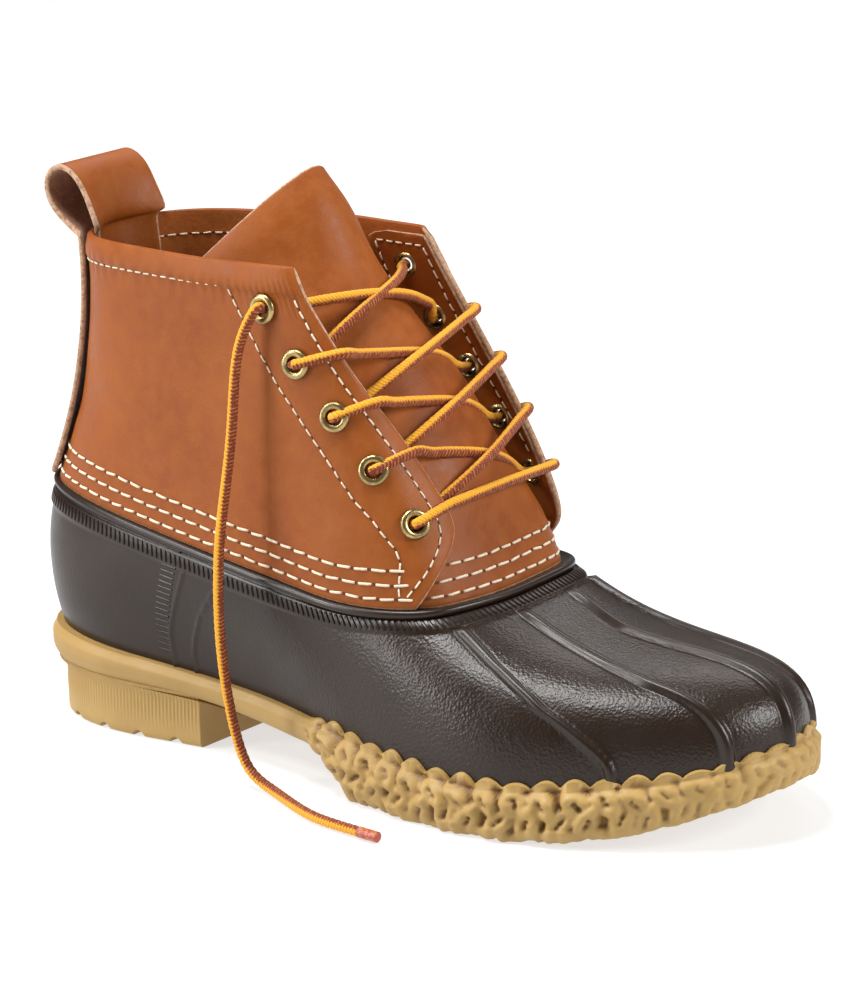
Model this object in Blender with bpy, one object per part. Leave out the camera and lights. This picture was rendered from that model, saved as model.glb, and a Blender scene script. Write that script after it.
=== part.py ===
"""Duck boot for the right foot: a leather shaft over a moulded rubber bottom, standing empty.

Metres, +Z up, +X to the toe, +Y to the shoe's left (the inner side of a right foot).
The origin is the centre of the heel's floor face.
"""

import math

import bmesh
import bpy
import numpy as np

# Overall form of the last
LENGTH = 0.300
HEEL_REACH = 0.045
BALL_WIDTH = 0.119
RIM_HEIGHT = 0.084
COLLAR_HEIGHT = 0.177
SWING = 0.039
GAP = 0.0003

# Rubber sole
HEEL_HEIGHT = 0.0165
ARCH_HEIGHT = 0.0140
TREAD_START = 0.086
TREAD_FULL = 0.112
SPRING_START = 0.171
TOE_SPRING = 0.018
HEEL_FLOOR = 0.0200
BALL_FLOOR = 0.0080
FLOOR_FALL_START = 0.050
FLOOR_FALL_END = 0.150
CUP_WALL = 0.0022
CUP_TOP_INSET = 0.0015
TREAD_INSET = 0.0050
KNOB_PITCH = 0.0105
KNOB_DEPTH = 0.0014
TREAD_DEPTH = 0.0025
BAR_WIDTH = 0.0060
BAR_PITCH = 0.0135
BAR_COUNT = 7
BAR_SHARE = 0.72
BAR_NARROW = 0.35
HEEL_INSET = 0.0050
HEEL_BREAST = 0.034
LUG_PITCH = 0.0155
LUG_GROOVE = 0.0026
LUG_COUNT = 4
FOXING_ROUND = 0.0010

# Rubber shell
SHELL_WALL = 0.0030
SHELL_GAP = 0.0005
BEAD_OUT = 0.0010
BEAD_HALF = 0.0015
BAND_DROP = 0.0090
BAND_TOP = 0.0032
BAND_OUT = 0.0006
BAND_EDGE = 0.0006
FLANGE_WALL = 0.0020
FLANGE_SHARE = 0.20
RIB_WIDTH = 0.0042
RIB_OUT = 0.0013
RIB_SLOPE = 0.0005

# Leather
LEATHER = 0.0022
VAMP_LEATHER = 0.0020
OVERLAP_OUT = 0.0012
LAYER_GAP = 0.0007
FLANGE_GAP = 0.0010
COLLAR_STEP = 0.0010
COLLAR_FOLD = 0.926
INSOLE = 0.0030

# Pull loop
LOOP_HALF_WIDTH = 0.018
STRAP = 0.0020

# Eyelets and lace
EYELET_FLANGE = 0.0103
EYELET_BORE = 0.0050
EYELET_BARREL = 0.0066
EYELET_METAL = 0.0007
EYELET_SIDES = 8
HOLE_REACH = 0.006
LACE = 0.0040
LACE_SIDES = 6
LACE_SPREAD = 0.15
LACE_REACH = 0.86
LACE_STEPS = 11
LACE_END_STEPS = 30
LACE_OVER = 0.0007
LACE_EXIT = (0.0003, 0.0046)

# Round the sole's edge from the heel's back along the outer side to the toe and home along the inner
# side: along in lengths, across in ball widths, foxing top in rim heights.
SOLE_EDGE = (
    # along, across, foxing
    (0.000, 0.000, 0.393),
    (0.035, -0.200, 0.390),
    (0.120, -0.295, 0.370),
    (0.220, -0.300, 0.338),
    (0.360, -0.310, 0.286),
    (0.500, -0.420, 0.244),
    (0.630, -0.495, 0.202),
    (0.760, -0.475, 0.214),
    (0.900, -0.330, 0.280),
    (0.970, -0.160, 0.345),
    (0.992, 0.050, 0.375),
    (0.955, 0.250, 0.345),
    (0.865, 0.410, 0.262),
    (0.720, 0.480, 0.208),
    (0.580, 0.400, 0.214),
    (0.420, 0.260, 0.256),
    (0.270, 0.260, 0.315),
    (0.140, 0.290, 0.362),
    (0.040, 0.200, 0.388),
)

# The shell's rim at the same stations: along, across, height in rim heights. The wall below it leaves
# the foxing upwards by rise and the rim outwards by reach of the way to the foxing and down by drop.
# Rise, drop and bulge are in rim heights.
RIM = (
    # along, across, height, rise, reach, drop, bulge
    (0.012, 0.000, 1.000, 0.20, 0.00, 0.20, 0.065),
    (0.033, -0.150, 0.990, 0.20, 0.00, 0.20, 0.062),
    (0.110, -0.256, 0.960, 0.20, 0.00, 0.20, 0.050),
    (0.210, -0.308, 0.912, 0.19, 0.00, 0.18, 0.032),
    (0.343, -0.355, 0.851, 0.18, 0.00, 0.17, 0.018),
    (0.450, -0.378, 0.800, 0.20, 0.25, 0.18, 0.010),
    (0.527, -0.377, 0.783, 0.29, 0.42, 0.16, 0.010),
    (0.587, -0.329, 0.790, 0.36, 0.45, 0.21, 0.000),
    (0.613, -0.239, 0.798, 0.40, 0.46, 0.255, 0.000),
    (0.628, -0.097, 0.803, 0.43, 0.47, 0.275, 0.000),
    (0.633, 0.053, 0.810, 0.43, 0.47, 0.285, 0.000),
    (0.632, 0.204, 0.814, 0.38, 0.46, 0.290, 0.000),
    (0.615, 0.300, 0.806, 0.32, 0.45, 0.270, 0.000),
    (0.570, 0.354, 0.798, 0.34, 0.44, 0.180, 0.006),
    (0.483, 0.354, 0.798, 0.26, 0.35, 0.180, 0.010),
    (0.383, 0.330, 0.833, 0.19, 0.10, 0.170, 0.010),
    (0.257, 0.309, 0.893, 0.19, 0.00, 0.180, 0.028),
    (0.130, 0.270, 0.955, 0.20, 0.00, 0.200, 0.048),
    (0.033, 0.155, 0.988, 0.20, 0.00, 0.200, 0.062),
)

# The collar at the same stations: along, across, height in collar heights. Lean and settle move the
# shaft's lower and upper waist forwards, in lengths.
COLLAR = (
    # along, across, height, lean, settle
    (0.060, 0.000, 0.969, 0.038, 0.018),
    (0.077, -0.127, 0.972, 0.033, 0.016),
    (0.130, -0.242, 0.980, 0.018, 0.008),
    (0.227, -0.310, 0.986, 0.000, 0.000),
    (0.307, -0.339, 0.989, 0.000, 0.006),
    (0.363, -0.349, 0.994, -0.010, 0.020),
    (0.403, -0.349, 0.997, -0.020, 0.033),
    (0.430, -0.334, 0.997, -0.027, 0.045),
    (0.447, -0.265, 0.997, -0.030, 0.050),
    (0.453, -0.130, 1.000, -0.030, 0.050),
    (0.455, 0.012, 1.000, -0.030, 0.050),
    (0.450, 0.155, 1.000, -0.030, 0.050),
    (0.437, 0.249, 1.000, -0.030, 0.050),
    (0.423, 0.288, 1.000, -0.024, 0.043),
    (0.373, 0.297, 1.000, -0.014, 0.026),
    (0.307, 0.300, 1.000, -0.002, 0.010),
    (0.217, 0.292, 0.992, 0.000, 0.000),
    (0.137, 0.245, 0.986, 0.018, 0.008),
    (0.080, 0.133, 0.977, 0.033, 0.016),
)
STATIONS = len(SOLE_EDGE)

# Stations between which the quarter rises over the vamp, on the outer and the inner side
OVERLAP_FROM = (4.6, 5.5)
OVERLAP_TO = (14.5, 15.4)

# The inner quarter's edge stands off from one station to the next, counted from the heel
SPLAY_FROM = (5.2, 7.2)
SPLAY = 0.0055

# The quarters' front edges: station on the near and the far side at each share of the shaft's height.
FRONT_EDGE = (
    # share, outer side, inner side
    (0.00, 6.75, 13.25),
    (0.09, 7.35, 12.60),
    (0.15, 7.90, 12.05),
    (0.21, 8.35, 11.80),
    (0.27, 8.50, 11.75),
    (0.39, 8.35, 11.90),
    (0.50, 8.15, 12.05),
    (0.60, 7.87, 12.15),
    (0.70, 7.53, 12.25),
    (0.81, 7.20, 12.40),
    (0.94, 6.80, 12.55),
    (1.00, 6.75, 12.60),
)

QUARTER_SHARES = (0.016, 0.08, 0.16, 0.24, 0.36, 0.50, 0.66, 0.82, 0.922, 0.930, 1.0)
QUARTER_WRAP = 5.6
RING_COUNT = 52
HEEL_ROUND = 2.4

# Eyelets from the top down: share of the shaft's height and station on either side.
EYELETS = (
    # share, outer side, inner side
    (0.88, 5.36, 13.72),
    (0.735, 5.93, 13.47),
    (0.595, 6.53, 13.18),
    (0.445, 6.99, 12.95),
    (0.28, 7.48, 12.62),
)

# The tongue above the vamp: its middle along in lengths and up in collar heights, half its width and
# the fall of its edges behind the middle in ball widths, and their drop in collar heights.
TONGUE = (
    # along, height, half_width, curl, drop
    (0.583, 0.600, 0.200, 0.060, 0.000),
    (0.545, 0.700, 0.215, 0.085, 0.000),
    (0.500, 0.800, 0.230, 0.110, 0.005),
    (0.455, 0.900, 0.245, 0.150, 0.025),
    (0.412, 1.010, 0.255, 0.200, 0.075),
    (0.385, 1.085, 0.260, 0.230, 0.130),
    (0.362, 1.138, 0.255, 0.240, 0.175),
)

# The vamp below it: share of the shaft's height, and the stations of its two sides.
VAMP = (
    # share, outer side, inner side
    (0.015, 5.70, 14.30),
    (0.070, 5.80, 14.20),
    (0.130, 6.50, 13.50),
    (0.175, 7.30, 12.70),
    (0.220, 7.90, 12.10),
)

# The loop above the collar: forwards of the collar's back and up from it, in lengths.
LOOP = (
    # forward, up
    (-0.020, 0.010),
    (-0.032, 0.026),
    (-0.037, 0.044),
    (-0.033, 0.062),
    (-0.019, 0.074),
    (-0.003, 0.073),
    (0.010, 0.060),
    (0.018, 0.038),
    (0.021, 0.014),
)

# The lace's free end below the top outer eyelet, down to its tip on the floor.
LACE_END = (
    (0.0690, -0.0470, 0.1520),
    (0.0675, -0.0490, 0.1380),
    (0.0660, -0.0500, 0.1160),
    (0.0640, -0.0530, 0.0900),
    (0.0635, -0.0545, 0.0700),
    (0.0640, -0.0545, 0.0500),
    (0.0660, -0.0535, 0.0300),
    (0.0700, -0.0530, 0.0140),
    (0.0760, -0.0535, 0.0055),
    (0.0860, -0.0560, 0.0024),
    (0.0990, -0.0630, 0.0023),
    (0.1130, -0.0695, 0.0023),
    (0.1270, -0.0725, 0.0023),
    (0.1430, -0.0745, 0.0023),
)

# Rows of the tongue's table at which the lace passes each pair of eyelets
LACE_ROWS = (3.20, 2.45, 1.75, 1.05, 0.40)

# Stations of the four ribs over the toe
RIB_STATIONS = (7.62, 9.33, 10.78, 11.92)

RUBBER = ("moulded_rubber", (0.060, 0.026, 0.016), 0.42, 0.0)
GUM = ("gum_sole", (0.42, 0.19, 0.065), 0.55, 0.0)
HIDE = ("tan_leather", (0.50, 0.19, 0.045), 0.45, 0.0)
HIDE_TONGUE = ("tongue_leather", (0.47, 0.17, 0.04), 0.48, 0.0)
HIDE_STRAP = ("strap_leather", (0.48, 0.18, 0.04), 0.45, 0.0)
BRASS = ("aged_brass", (0.42, 0.28, 0.11), 0.35, 1.0)
CORD = ("lace_cord", (0.45, 0.20, 0.05), 0.80, 0.0)
LINING = ("insole_felt", (0.35, 0.27, 0.18), 0.90, 0.0)


def clear_scene():
    for thing in list(bpy.data.objects):
        bpy.data.objects.remove(thing, do_unlink=True)


def material(spec):
    name, colour, roughness, metallic = spec
    made = bpy.data.materials.get(name) or bpy.data.materials.new(name)
    made.use_nodes = True
    shader = made.node_tree.nodes["Principled BSDF"]
    shader.inputs["Base Color"].default_value = (*colour, 1.0)
    shader.inputs["Roughness"].default_value = roughness
    shader.inputs["Metallic"].default_value = metallic
    made.diffuse_color = (*colour, 1.0)
    return made


def mesh_object(name, points, faces, spec):
    """One object from points and faces, smooth but for its sharp edges, with its faces turned out."""
    mesh = bpy.data.meshes.new(name)
    mesh.from_pydata([tuple(p) for p in points], [], [tuple(f) for f in faces])
    work = bmesh.new()
    work.from_mesh(mesh)
    bmesh.ops.recalc_face_normals(work, faces=work.faces)
    if work.calc_volume(signed=True) < 0:
        bmesh.ops.reverse_faces(work, faces=work.faces)
    work.to_mesh(mesh)
    work.free()
    mesh.shade_smooth()
    mesh.set_sharp_from_angle(angle=math.radians(38))
    made = bpy.data.objects.new(name, mesh)
    made.data.materials.append(material(spec))
    bpy.context.scene.collection.objects.link(made)
    return made


def as_cutter(helper):
    helper.hide_render = True
    helper.display_type = "WIRE"


def boolean(target, helper, operation):
    step = target.modifiers.new(helper.name, "BOOLEAN")
    step.operation = operation
    step.object = helper
    as_cutter(helper)


def closed_spline(rows, at):
    """The closed cubic curve through all rows, read at stations counted from the first row."""
    rows = np.asarray(rows, float)
    count = len(rows)
    ties = 4 * np.eye(count) + np.roll(np.eye(count), 1, 0) + np.roll(np.eye(count), -1, 0)
    bend = np.linalg.solve(ties, 6 * (np.roll(rows, -1, 0) - 2 * rows + np.roll(rows, 1, 0)))
    at = np.asarray(at, float)
    first = np.floor(at).astype(int)
    part = (at - first)[..., None]
    a, b = first % count, (first + 1) % count
    rest = 1 - part
    bends = ((rest**3 - rest) * bend[a] + (part**3 - part) * bend[b]) / 6
    return rest * rows[a] + part * rows[b] + bends


def open_spline(rows, at):
    """The cubic curve through all rows with free ends, read at row numbers."""
    rows = np.asarray(rows, float)
    count = len(rows)
    ties = np.eye(count)
    pull = np.zeros_like(rows)
    for i in range(1, count - 1):
        ties[i, i - 1 : i + 2] = 1, 4, 1
        pull[i] = 6 * (rows[i + 1] - 2 * rows[i] + rows[i - 1])
    bend = np.linalg.solve(ties, pull)
    at = np.asarray(at, float)
    first = np.clip(np.floor(at).astype(int), 0, count - 2)
    part = (at - first)[..., None]
    rest = 1 - part
    bends = ((rest**3 - rest) * bend[first] + (part**3 - part) * bend[first + 1]) / 6
    return rest * rows[first] + part * rows[first + 1] + bends


def smooth_step(x, low, high):
    t = np.clip((x - low) / (high - low), 0.0, 1.0)
    return t * t * (3 - 2 * t)


def placed(along, across, height):
    """A point of the last from its shares: the forefoot swings to the inner side."""
    along, across, height = np.broadcast_arrays(along, across, height)
    x = along * LENGTH - HEEL_REACH
    y = across * BALL_WIDTH
    turned = x * math.cos(SWING) - y * math.sin(SWING), x * math.sin(SWING) + y * math.cos(SWING)
    return np.stack([*turned, height], -1)


def unit(v):
    return v / np.maximum(np.linalg.norm(v, axis=-1, keepdims=True), 1e-9)


def sole_edge(at, inset=0.0):
    """The sole's outline at stations, moved inwards by inset, flat on z = 0."""
    step = 0.02
    row = closed_spline(SOLE_EDGE, at)
    point = placed(row[..., 0], row[..., 1], 0.0)
    ahead = closed_spline(SOLE_EDGE, np.asarray(at) + step)
    behind = closed_spline(SOLE_EDGE, np.asarray(at) - step)
    tangent = placed(ahead[..., 0], ahead[..., 1], 0.0) - placed(behind[..., 0], behind[..., 1], 0.0)
    inward = unit(np.stack([-tangent[..., 1], tangent[..., 0], 0 * tangent[..., 0]], -1))
    return point + inward * np.asarray(inset)[..., None]


def foxing_top(at):
    return closed_spline(SOLE_EDGE, at)[..., 2] * RIM_HEIGHT


def spring(x):
    reach = LENGTH - HEEL_REACH - SPRING_START
    return TOE_SPRING * np.clip((x - SPRING_START) / reach, 0.0, 1.1) ** 2


def underside(x):
    """Height of the sole's lower face, without the heel block."""
    heel = HEEL_HEIGHT - ARCH_HEIGHT
    step = ARCH_HEIGHT * (1 - smooth_step(x, TREAD_START, TREAD_FULL))
    return step + heel * (1 - smooth_step(x, HEEL_BREAST, TREAD_START)) + spring(x)


def cup_floor(x):
    fall = smooth_step(x, FLOOR_FALL_START, FLOOR_FALL_END)
    return HEEL_FLOOR + (BALL_FLOOR - HEEL_FLOOR) * fall + spring(x)


def with_height(points, height):
    out = np.array(points)
    out[..., 2] = height
    return out


SHELL_INSET = CUP_TOP_INSET + CUP_WALL + SHELL_GAP


def bezier(a, b, c, d, t):
    t = t[..., None]
    s = 1 - t
    return s**3 * a + 3 * s * s * t * b + 3 * s * t * t * c + t**3 * d


def shell_ends(at):
    """The control points of the shell's wall at stations: foxing, rise, reach and rim."""
    row = closed_spline(RIM, at)
    along, across, height, rise, reach, drop, bulge = np.moveaxis(row, -1, 0)
    low = with_height(sole_edge(at, SHELL_INSET), foxing_top(at))
    rim = placed(along, across, height * RIM_HEIGHT)
    out = unit(sole_edge(at, 0.0) - sole_edge(at, 0.01))
    up = np.array([0.0, 0.0, RIM_HEIGHT])
    flat = (low - rim) * np.array([1.0, 1.0, 0.0])
    swell = out * (bulge * RIM_HEIGHT)[..., None]
    return low, low + up * rise[..., None] + swell, rim + flat * reach[..., None] - up * drop[..., None] + swell, rim


def shell_wall(at, share):
    """Points of the shell's outer face: share of its arc length from the foxing (0) to the rim (1)."""
    at, share = np.broadcast_arrays(np.asarray(at, float), np.asarray(share, float))
    steps = np.linspace(0, 1, 25)
    out = np.empty(at.shape + (3,))
    for index in np.ndindex(at.shape):
        ends = shell_ends(at[index])
        line = bezier(*ends, steps)
        run = np.concatenate([[0], np.cumsum(np.linalg.norm(np.diff(line, axis=0), axis=1))])
        t = np.interp(share[index] * run[-1], run, steps)
        out[index] = bezier(*ends, np.asarray(t))
    return out


def wall_length(at):
    line = bezier(*(e[:, None] for e in shell_ends(at)), np.linspace(0, 1, 25)[None, :])
    return np.linalg.norm(np.diff(line, axis=1), axis=2).sum(axis=1)


def shaft(at, share):
    """The leather's outer face above the rim: share 0 at the rim and 1 at the collar."""
    at, share = np.broadcast_arrays(np.asarray(at, float), np.asarray(share, float))
    rim_row = closed_spline(RIM, at)
    row = closed_spline(COLLAR, at)
    low = placed(rim_row[..., 0], rim_row[..., 1], rim_row[..., 2] * RIM_HEIGHT)
    top = placed(row[..., 0], row[..., 1], row[..., 2] * COLLAR_HEIGHT)
    climb = (top - low) * np.array([0.0, 0.0, 1.0])
    flat = (top - low) * np.array([0.0, 1.0, 0.0])
    forward = np.array([LENGTH, 0.0, 0.0])
    second = low + 0.28 * climb + 0.28 * flat + forward * row[..., 3:4]
    third = top - 0.36 * climb - 0.36 * flat + forward * row[..., 4:5]
    return bezier(low, second, third, top, share)


def layer(at):
    """1 where the quarter lies over the vamp, 0 round the heel."""
    at = np.asarray(at) % STATIONS
    return smooth_step(at, *OVERLAP_FROM) * (1 - smooth_step(at, *OVERLAP_TO))


def outward(surface, at, share):
    """Unit normals of a surface function, facing out of the shoe."""
    step_at, step_share = 0.03, 0.01
    along = surface(at + step_at, share) - surface(at - step_at, share)
    up = surface(at, np.minimum(share + step_share, 1.2)) - surface(at, share - step_share)
    return unit(np.cross(along, up))


def off_shaft(at, share, distance):
    at, share = np.broadcast_arrays(np.asarray(at, float), np.asarray(share, float))
    return shaft(at, share) + outward(shaft, at, share) * np.asarray(distance)[..., None]


def loops_to_faces(rows, columns, wrap_rows, wrap_columns):
    faces = []
    for r in range(rows if wrap_rows else rows - 1):
        for c in range(columns if wrap_columns else columns - 1):
            r2, c2 = (r + 1) % rows, (c + 1) % columns
            faces.append((r * columns + c, r * columns + c2, r2 * columns + c2, r2 * columns + c))
    return faces


def ladder(count, start):
    """A cap of quads across a closed ring whose points face each other about its first one."""
    faces = [(start, start + 1, start + count - 1)]
    for i in range(1, count // 2 - 1):
        faces.append((start + i, start + i + 1, start + count - i - 1, start + count - i))
    middle = count // 2
    if count % 2 == 0:
        faces.append((start + middle - 1, start + middle, start + middle + 1))
    else:
        faces.append((start + middle - 1, start + middle, start + middle + 1, start + middle + 2))
    return faces


def sheet_object(name, outer, inner, spec):
    """A closed wall between two grids of points with the same rows and columns."""
    rows, columns = outer.shape[:2]
    points = np.concatenate([outer.reshape(-1, 3), inner.reshape(-1, 3)])
    half = rows * columns
    faces = loops_to_faces(rows, columns, False, False)
    faces += [tuple(half + i for i in reversed(f)) for f in faces]
    rim = [c for c in range(columns)]
    rim += [r * columns + columns - 1 for r in range(1, rows)]
    rim += [(rows - 1) * columns + c for c in range(columns - 2, -1, -1)]
    rim += [r * columns for r in range(rows - 2, 0, -1)]
    for a, b in zip(rim, rim[1:] + rim[:1]):
        faces.append((b, a, half + a, half + b))
    return mesh_object(name, points, faces, spec)


def edge_run():
    """The sole's edge read finely: stations, points and length so far."""
    fine = np.linspace(0, STATIONS, 40 * STATIONS + 1)
    line = sole_edge(fine)
    run = np.concatenate([[0], np.cumsum(np.linalg.norm(np.diff(line, axis=0), axis=1))])
    return fine, line, run


def ring_stations(count):
    """Stations along the sole's edge, closer together round the heel, the first at its back."""
    fine, line, run = edge_run()
    close = 1 + (np.minimum(fine[1:], STATIONS - fine[1:]) < HEEL_ROUND)
    run = np.concatenate([[0], np.cumsum(np.diff(run) * close)])
    return np.interp(np.linspace(0, run[-1], count, endpoint=False), run, fine)


def paired_stations(count):
    """Stations of an even ring whose two sides have the same places along the shoe."""
    fine, line, run = edge_run()
    toe = int(np.argmax(line[:, 0]))
    heel = int(np.argmin(line[:, 0]))
    heel = heel if heel < len(fine) // 2 else 0
    half = count // 2
    share = 0.5 - 0.5 * np.cos(np.pi * np.arange(half + 1) / half)
    x = line[heel, 0] + share * (line[toe, 0] - line[heel, 0])
    near = np.interp(x, line[heel : toe + 1, 0], fine[heel : toe + 1])
    far = np.interp(x, line[toe:, 0][::-1], fine[toe:][::-1])
    return np.concatenate([near, far[-2:0:-1]])


def build_shell():
    """The rubber bottom: wall, knurl band, bead and the flange behind the leather, open underneath."""
    plain = ring_stations(RING_COUNT)
    shares = (0.0, 0.12, 0.28, 0.47, 0.67, 0.85)

    def columns(share):
        """Stations of one row, with four more close together at each rib."""
        at = list(plain)
        extra = []
        for rib in RIB_STATIONS:
            speed = np.linalg.norm(shell_wall(rib + 0.05, share) - shell_wall(rib - 0.05, share)) / 0.1
            half, edge = RIB_WIDTH / 2 / speed, (RIB_WIDTH / 2 + RIB_SLOPE) / speed
            at = [a for a in at if abs(a - rib) > 0.16]
            extra += [rib - edge, rib - half, rib + half, rib + edge]
        return np.array(sorted(at + extra))

    def rib_lift(at, share):
        lift = np.zeros(len(at))
        if share < 0.08:
            return lift
        ribs = np.array(RIB_STATIONS)
        near = np.argsort(np.min(np.abs(at[:, None] - ribs), axis=1))[: 4 * len(ribs)]
        for index in near:
            rib = ribs[np.argmin(np.abs(at[index] - ribs))]
            speed = np.linalg.norm(shell_wall(rib + 0.05, share) - shell_wall(rib - 0.05, share)) / 0.1
            if abs(at[index] - rib) * speed < RIB_WIDTH / 2 + RIB_SLOPE / 2:
                lift[index] = RIB_OUT
        return lift

    rows = []
    base = columns(0.0)
    foot = sole_edge(base, SHELL_INSET)
    rows.append(with_height(foot, cup_floor(foot[:, 0]) + GAP))
    for share in shares:
        at = columns(share)
        face = shell_wall(at, share)
        rows.append(face + outward(shell_wall, at, share) * rib_lift(at, share)[:, None])
    at = columns(0.95)
    length = wall_length(at)
    cover = layer(at)
    band_low = 1 - BAND_DROP / length
    band_high = 1 - BAND_TOP / length
    for share, lift in ((band_low, 0.0), (band_low + BAND_EDGE / length, BAND_OUT), (band_high, BAND_OUT)):
        rows.append(shell_wall(at, share) + outward(shell_wall, at, share) * lift)
    groove = 1 - (BAND_TOP - BAND_EDGE) / length
    rows.append(shell_wall(at, groove) - outward(shell_wall, at, groove) * BAND_OUT / 2)
    rim = shaft(at, 0.0)
    out = outward(shaft, at, np.zeros_like(at))
    up = np.array([0.0, 0.0, 1.0])
    bead = BEAD_OUT + OVERLAP_OUT * cover[:, None]
    rows.append(rim + out * bead - up * BEAD_HALF)
    rows.append(rim + out * (bead + BEAD_OUT / 2))
    rows.append(rim + out * bead + up * BEAD_HALF * 0.5)
    flange = -(LEATHER + GAP) - cover * (VAMP_LEATHER + LAYER_GAP + FLANGE_GAP - GAP - OVERLAP_OUT)
    rim_climb = BEAD_HALF * 0.6 / (COLLAR_HEIGHT - RIM_HEIGHT)
    for share in (rim_climb, FLANGE_SHARE / 2, FLANGE_SHARE):
        rows.append(off_shaft(at, share, flange))
    for share in (FLANGE_SHARE, rim_climb):
        rows.append(off_shaft(at, share, flange - FLANGE_WALL))
    for share in (0.82, 0.55, 0.28, 0.0):
        inner_at = columns(share)
        face = shell_wall(inner_at, share)
        rows.append(face - outward(shell_wall, inner_at, np.full(len(inner_at), share)) * SHELL_WALL)
    foot = sole_edge(base, SHELL_INSET + SHELL_WALL)
    rows.append(with_height(foot, cup_floor(foot[:, 0]) + GAP))
    grid = np.array(rows)
    faces = loops_to_faces(grid.shape[0], grid.shape[1], True, True)
    return mesh_object("rubber_shell", grid.reshape(-1, 3), faces, RUBBER)


def tread_stations():
    """Stations of the sole's ring, its sides paired, with three to each knob, and the knobs' swell."""
    fine, line, run = edge_run()
    toe = int(np.argmax(line[:, 0]))
    back = run[toe]
    marks = [0.0]
    while marks[-1] < back - KNOB_PITCH / 6:
        x = float(np.interp(back - marks[-1], run, line[:, 0]))
        marks.append(marks[-1] + KNOB_PITCH / 3 * (1 if x > TREAD_START else 2))
    marks = back - np.array(marks[:-1])[::-1]
    near = np.concatenate([[0.0], np.interp(marks, run, fine)])
    x = np.interp(near, fine, line[:, 0])
    far = np.interp(x[1:-1], line[toe:, 0][::-1], fine[toe:][::-1])[::-1]
    fade = smooth_step(x, TREAD_START, TREAD_START + KNOB_PITCH)
    lump = fade * (0.5 + 0.5 * np.cos(2 * math.pi * (back - np.interp(near, fine, run)) / KNOB_PITCH))
    return np.concatenate([near, far]), np.concatenate([lump, lump[-2:0:-1]])


def build_outsole():
    """The gum cup sole: foxing, knobbed forefoot tread with cross bars, arch and heel block."""
    at, lump = tread_stations()
    edge = sole_edge(at)
    low = underside(edge[:, 0])
    top = foxing_top(at)
    tread = smooth_step(edge[:, 0], TREAD_START, TREAD_FULL)
    body = top - low
    inner = sole_edge(at, TREAD_INSET + KNOB_PITCH)
    rows = [
        with_height(inner, underside(inner[:, 0]) + TREAD_DEPTH * tread),
        with_height(sole_edge(at, TREAD_INSET + KNOB_PITCH * 0.9), low),
        with_height(sole_edge(at, TREAD_INSET - KNOB_DEPTH * lump * 0.5), low),
        with_height(sole_edge(at, FOXING_ROUND - KNOB_DEPTH * lump), low + 0.24 * body),
        with_height(sole_edge(at, -KNOB_DEPTH * lump), low + 0.72 * body),
        with_height(sole_edge(at, CUP_TOP_INSET), top),
        with_height(sole_edge(at, CUP_TOP_INSET + CUP_WALL), top),
    ]
    for inset in (CUP_TOP_INSET + CUP_WALL, SHELL_INSET + SHELL_WALL):
        foot = sole_edge(at, inset)
        rows.append(with_height(foot, cup_floor(foot[:, 0])))
    grid = np.array(rows)
    count = grid.shape[1]
    faces = loops_to_faces(grid.shape[0], count, False, True)
    faces += ladder(count, 0)
    faces += ladder(count, count * (grid.shape[0] - 1))
    body = mesh_object("outsole", grid.reshape(-1, 3), faces, GUM)
    boolean(body, heel_block(), "UNION")
    boolean(body, tread_bars(), "UNION")
    for i in range(LUG_COUNT):
        boolean(body, heel_groove(i), "DIFFERENCE")
    return body


def heel_block():
    """The heel under the sole: the sole's own outline drawn in, with an upright front face."""
    at = np.concatenate([np.linspace(-3.2, -0.3, 11), [0.0], np.linspace(0.3, 3.2, 11)])
    ring = sole_edge(at % STATIONS, HEEL_INSET)
    ring = ring[ring[:, 0] < HEEL_BREAST]
    rows = [with_height(ring, 0.0), with_height(ring, HEEL_HEIGHT + TREAD_DEPTH)]
    count = len(ring)
    faces = loops_to_faces(2, count, False, True)
    faces += [tuple(range(count)), tuple(range(2 * count - 1, count - 1, -1))]
    return mesh_object("heel_block_helper", np.concatenate(rows), faces, GUM)


def heel_groove(index):
    """One round groove across the heel's floor face."""
    centre = (index - (LUG_COUNT - 1) / 2) * LUG_PITCH
    bpy.ops.mesh.primitive_cylinder_add(
        vertices=10, radius=LUG_GROOVE, depth=BALL_WIDTH, location=(centre, 0.0, 0.0),
        rotation=(math.pi / 2, 0.0, 0.0))
    made = bpy.context.object
    made.name = f"heel_groove_helper_{index + 1}"
    return made


def tread_bars():
    """The raised bars across the forefoot."""
    work = bmesh.new()
    first = TREAD_FULL + BAR_PITCH / 2
    for i in range(BAR_COUNT):
        x = first + i * BAR_PITCH
        z = spring(x)
        width = BALL_WIDTH * BAR_SHARE * (1 - BAR_NARROW * (i / BAR_COUNT) ** 3)
        mark = bmesh.ops.create_cube(work, size=1.0)["verts"]
        for v in mark:
            v.co.x = v.co.x * BAR_WIDTH + x
            v.co.y = v.co.y * width + SWING * x
            v.co.z = z if v.co.z < 0 else z + 2 * TREAD_DEPTH
    mesh = bpy.data.meshes.new("tread_bars_helper")
    work.to_mesh(mesh)
    work.free()
    made = bpy.data.objects.new("tread_bars_helper", mesh)
    bpy.context.scene.collection.objects.link(made)
    return made


def splay(at, share):
    """How far the inner quarter's free edge stands off: most at half its height."""
    reach = smooth_step(STATIONS - np.asarray(at), *SPLAY_FROM)
    return SPLAY * reach * (np.asarray(at) > STATIONS / 2) * np.sin(np.pi * np.clip(share, 0, 1)) ** 0.7


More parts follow.
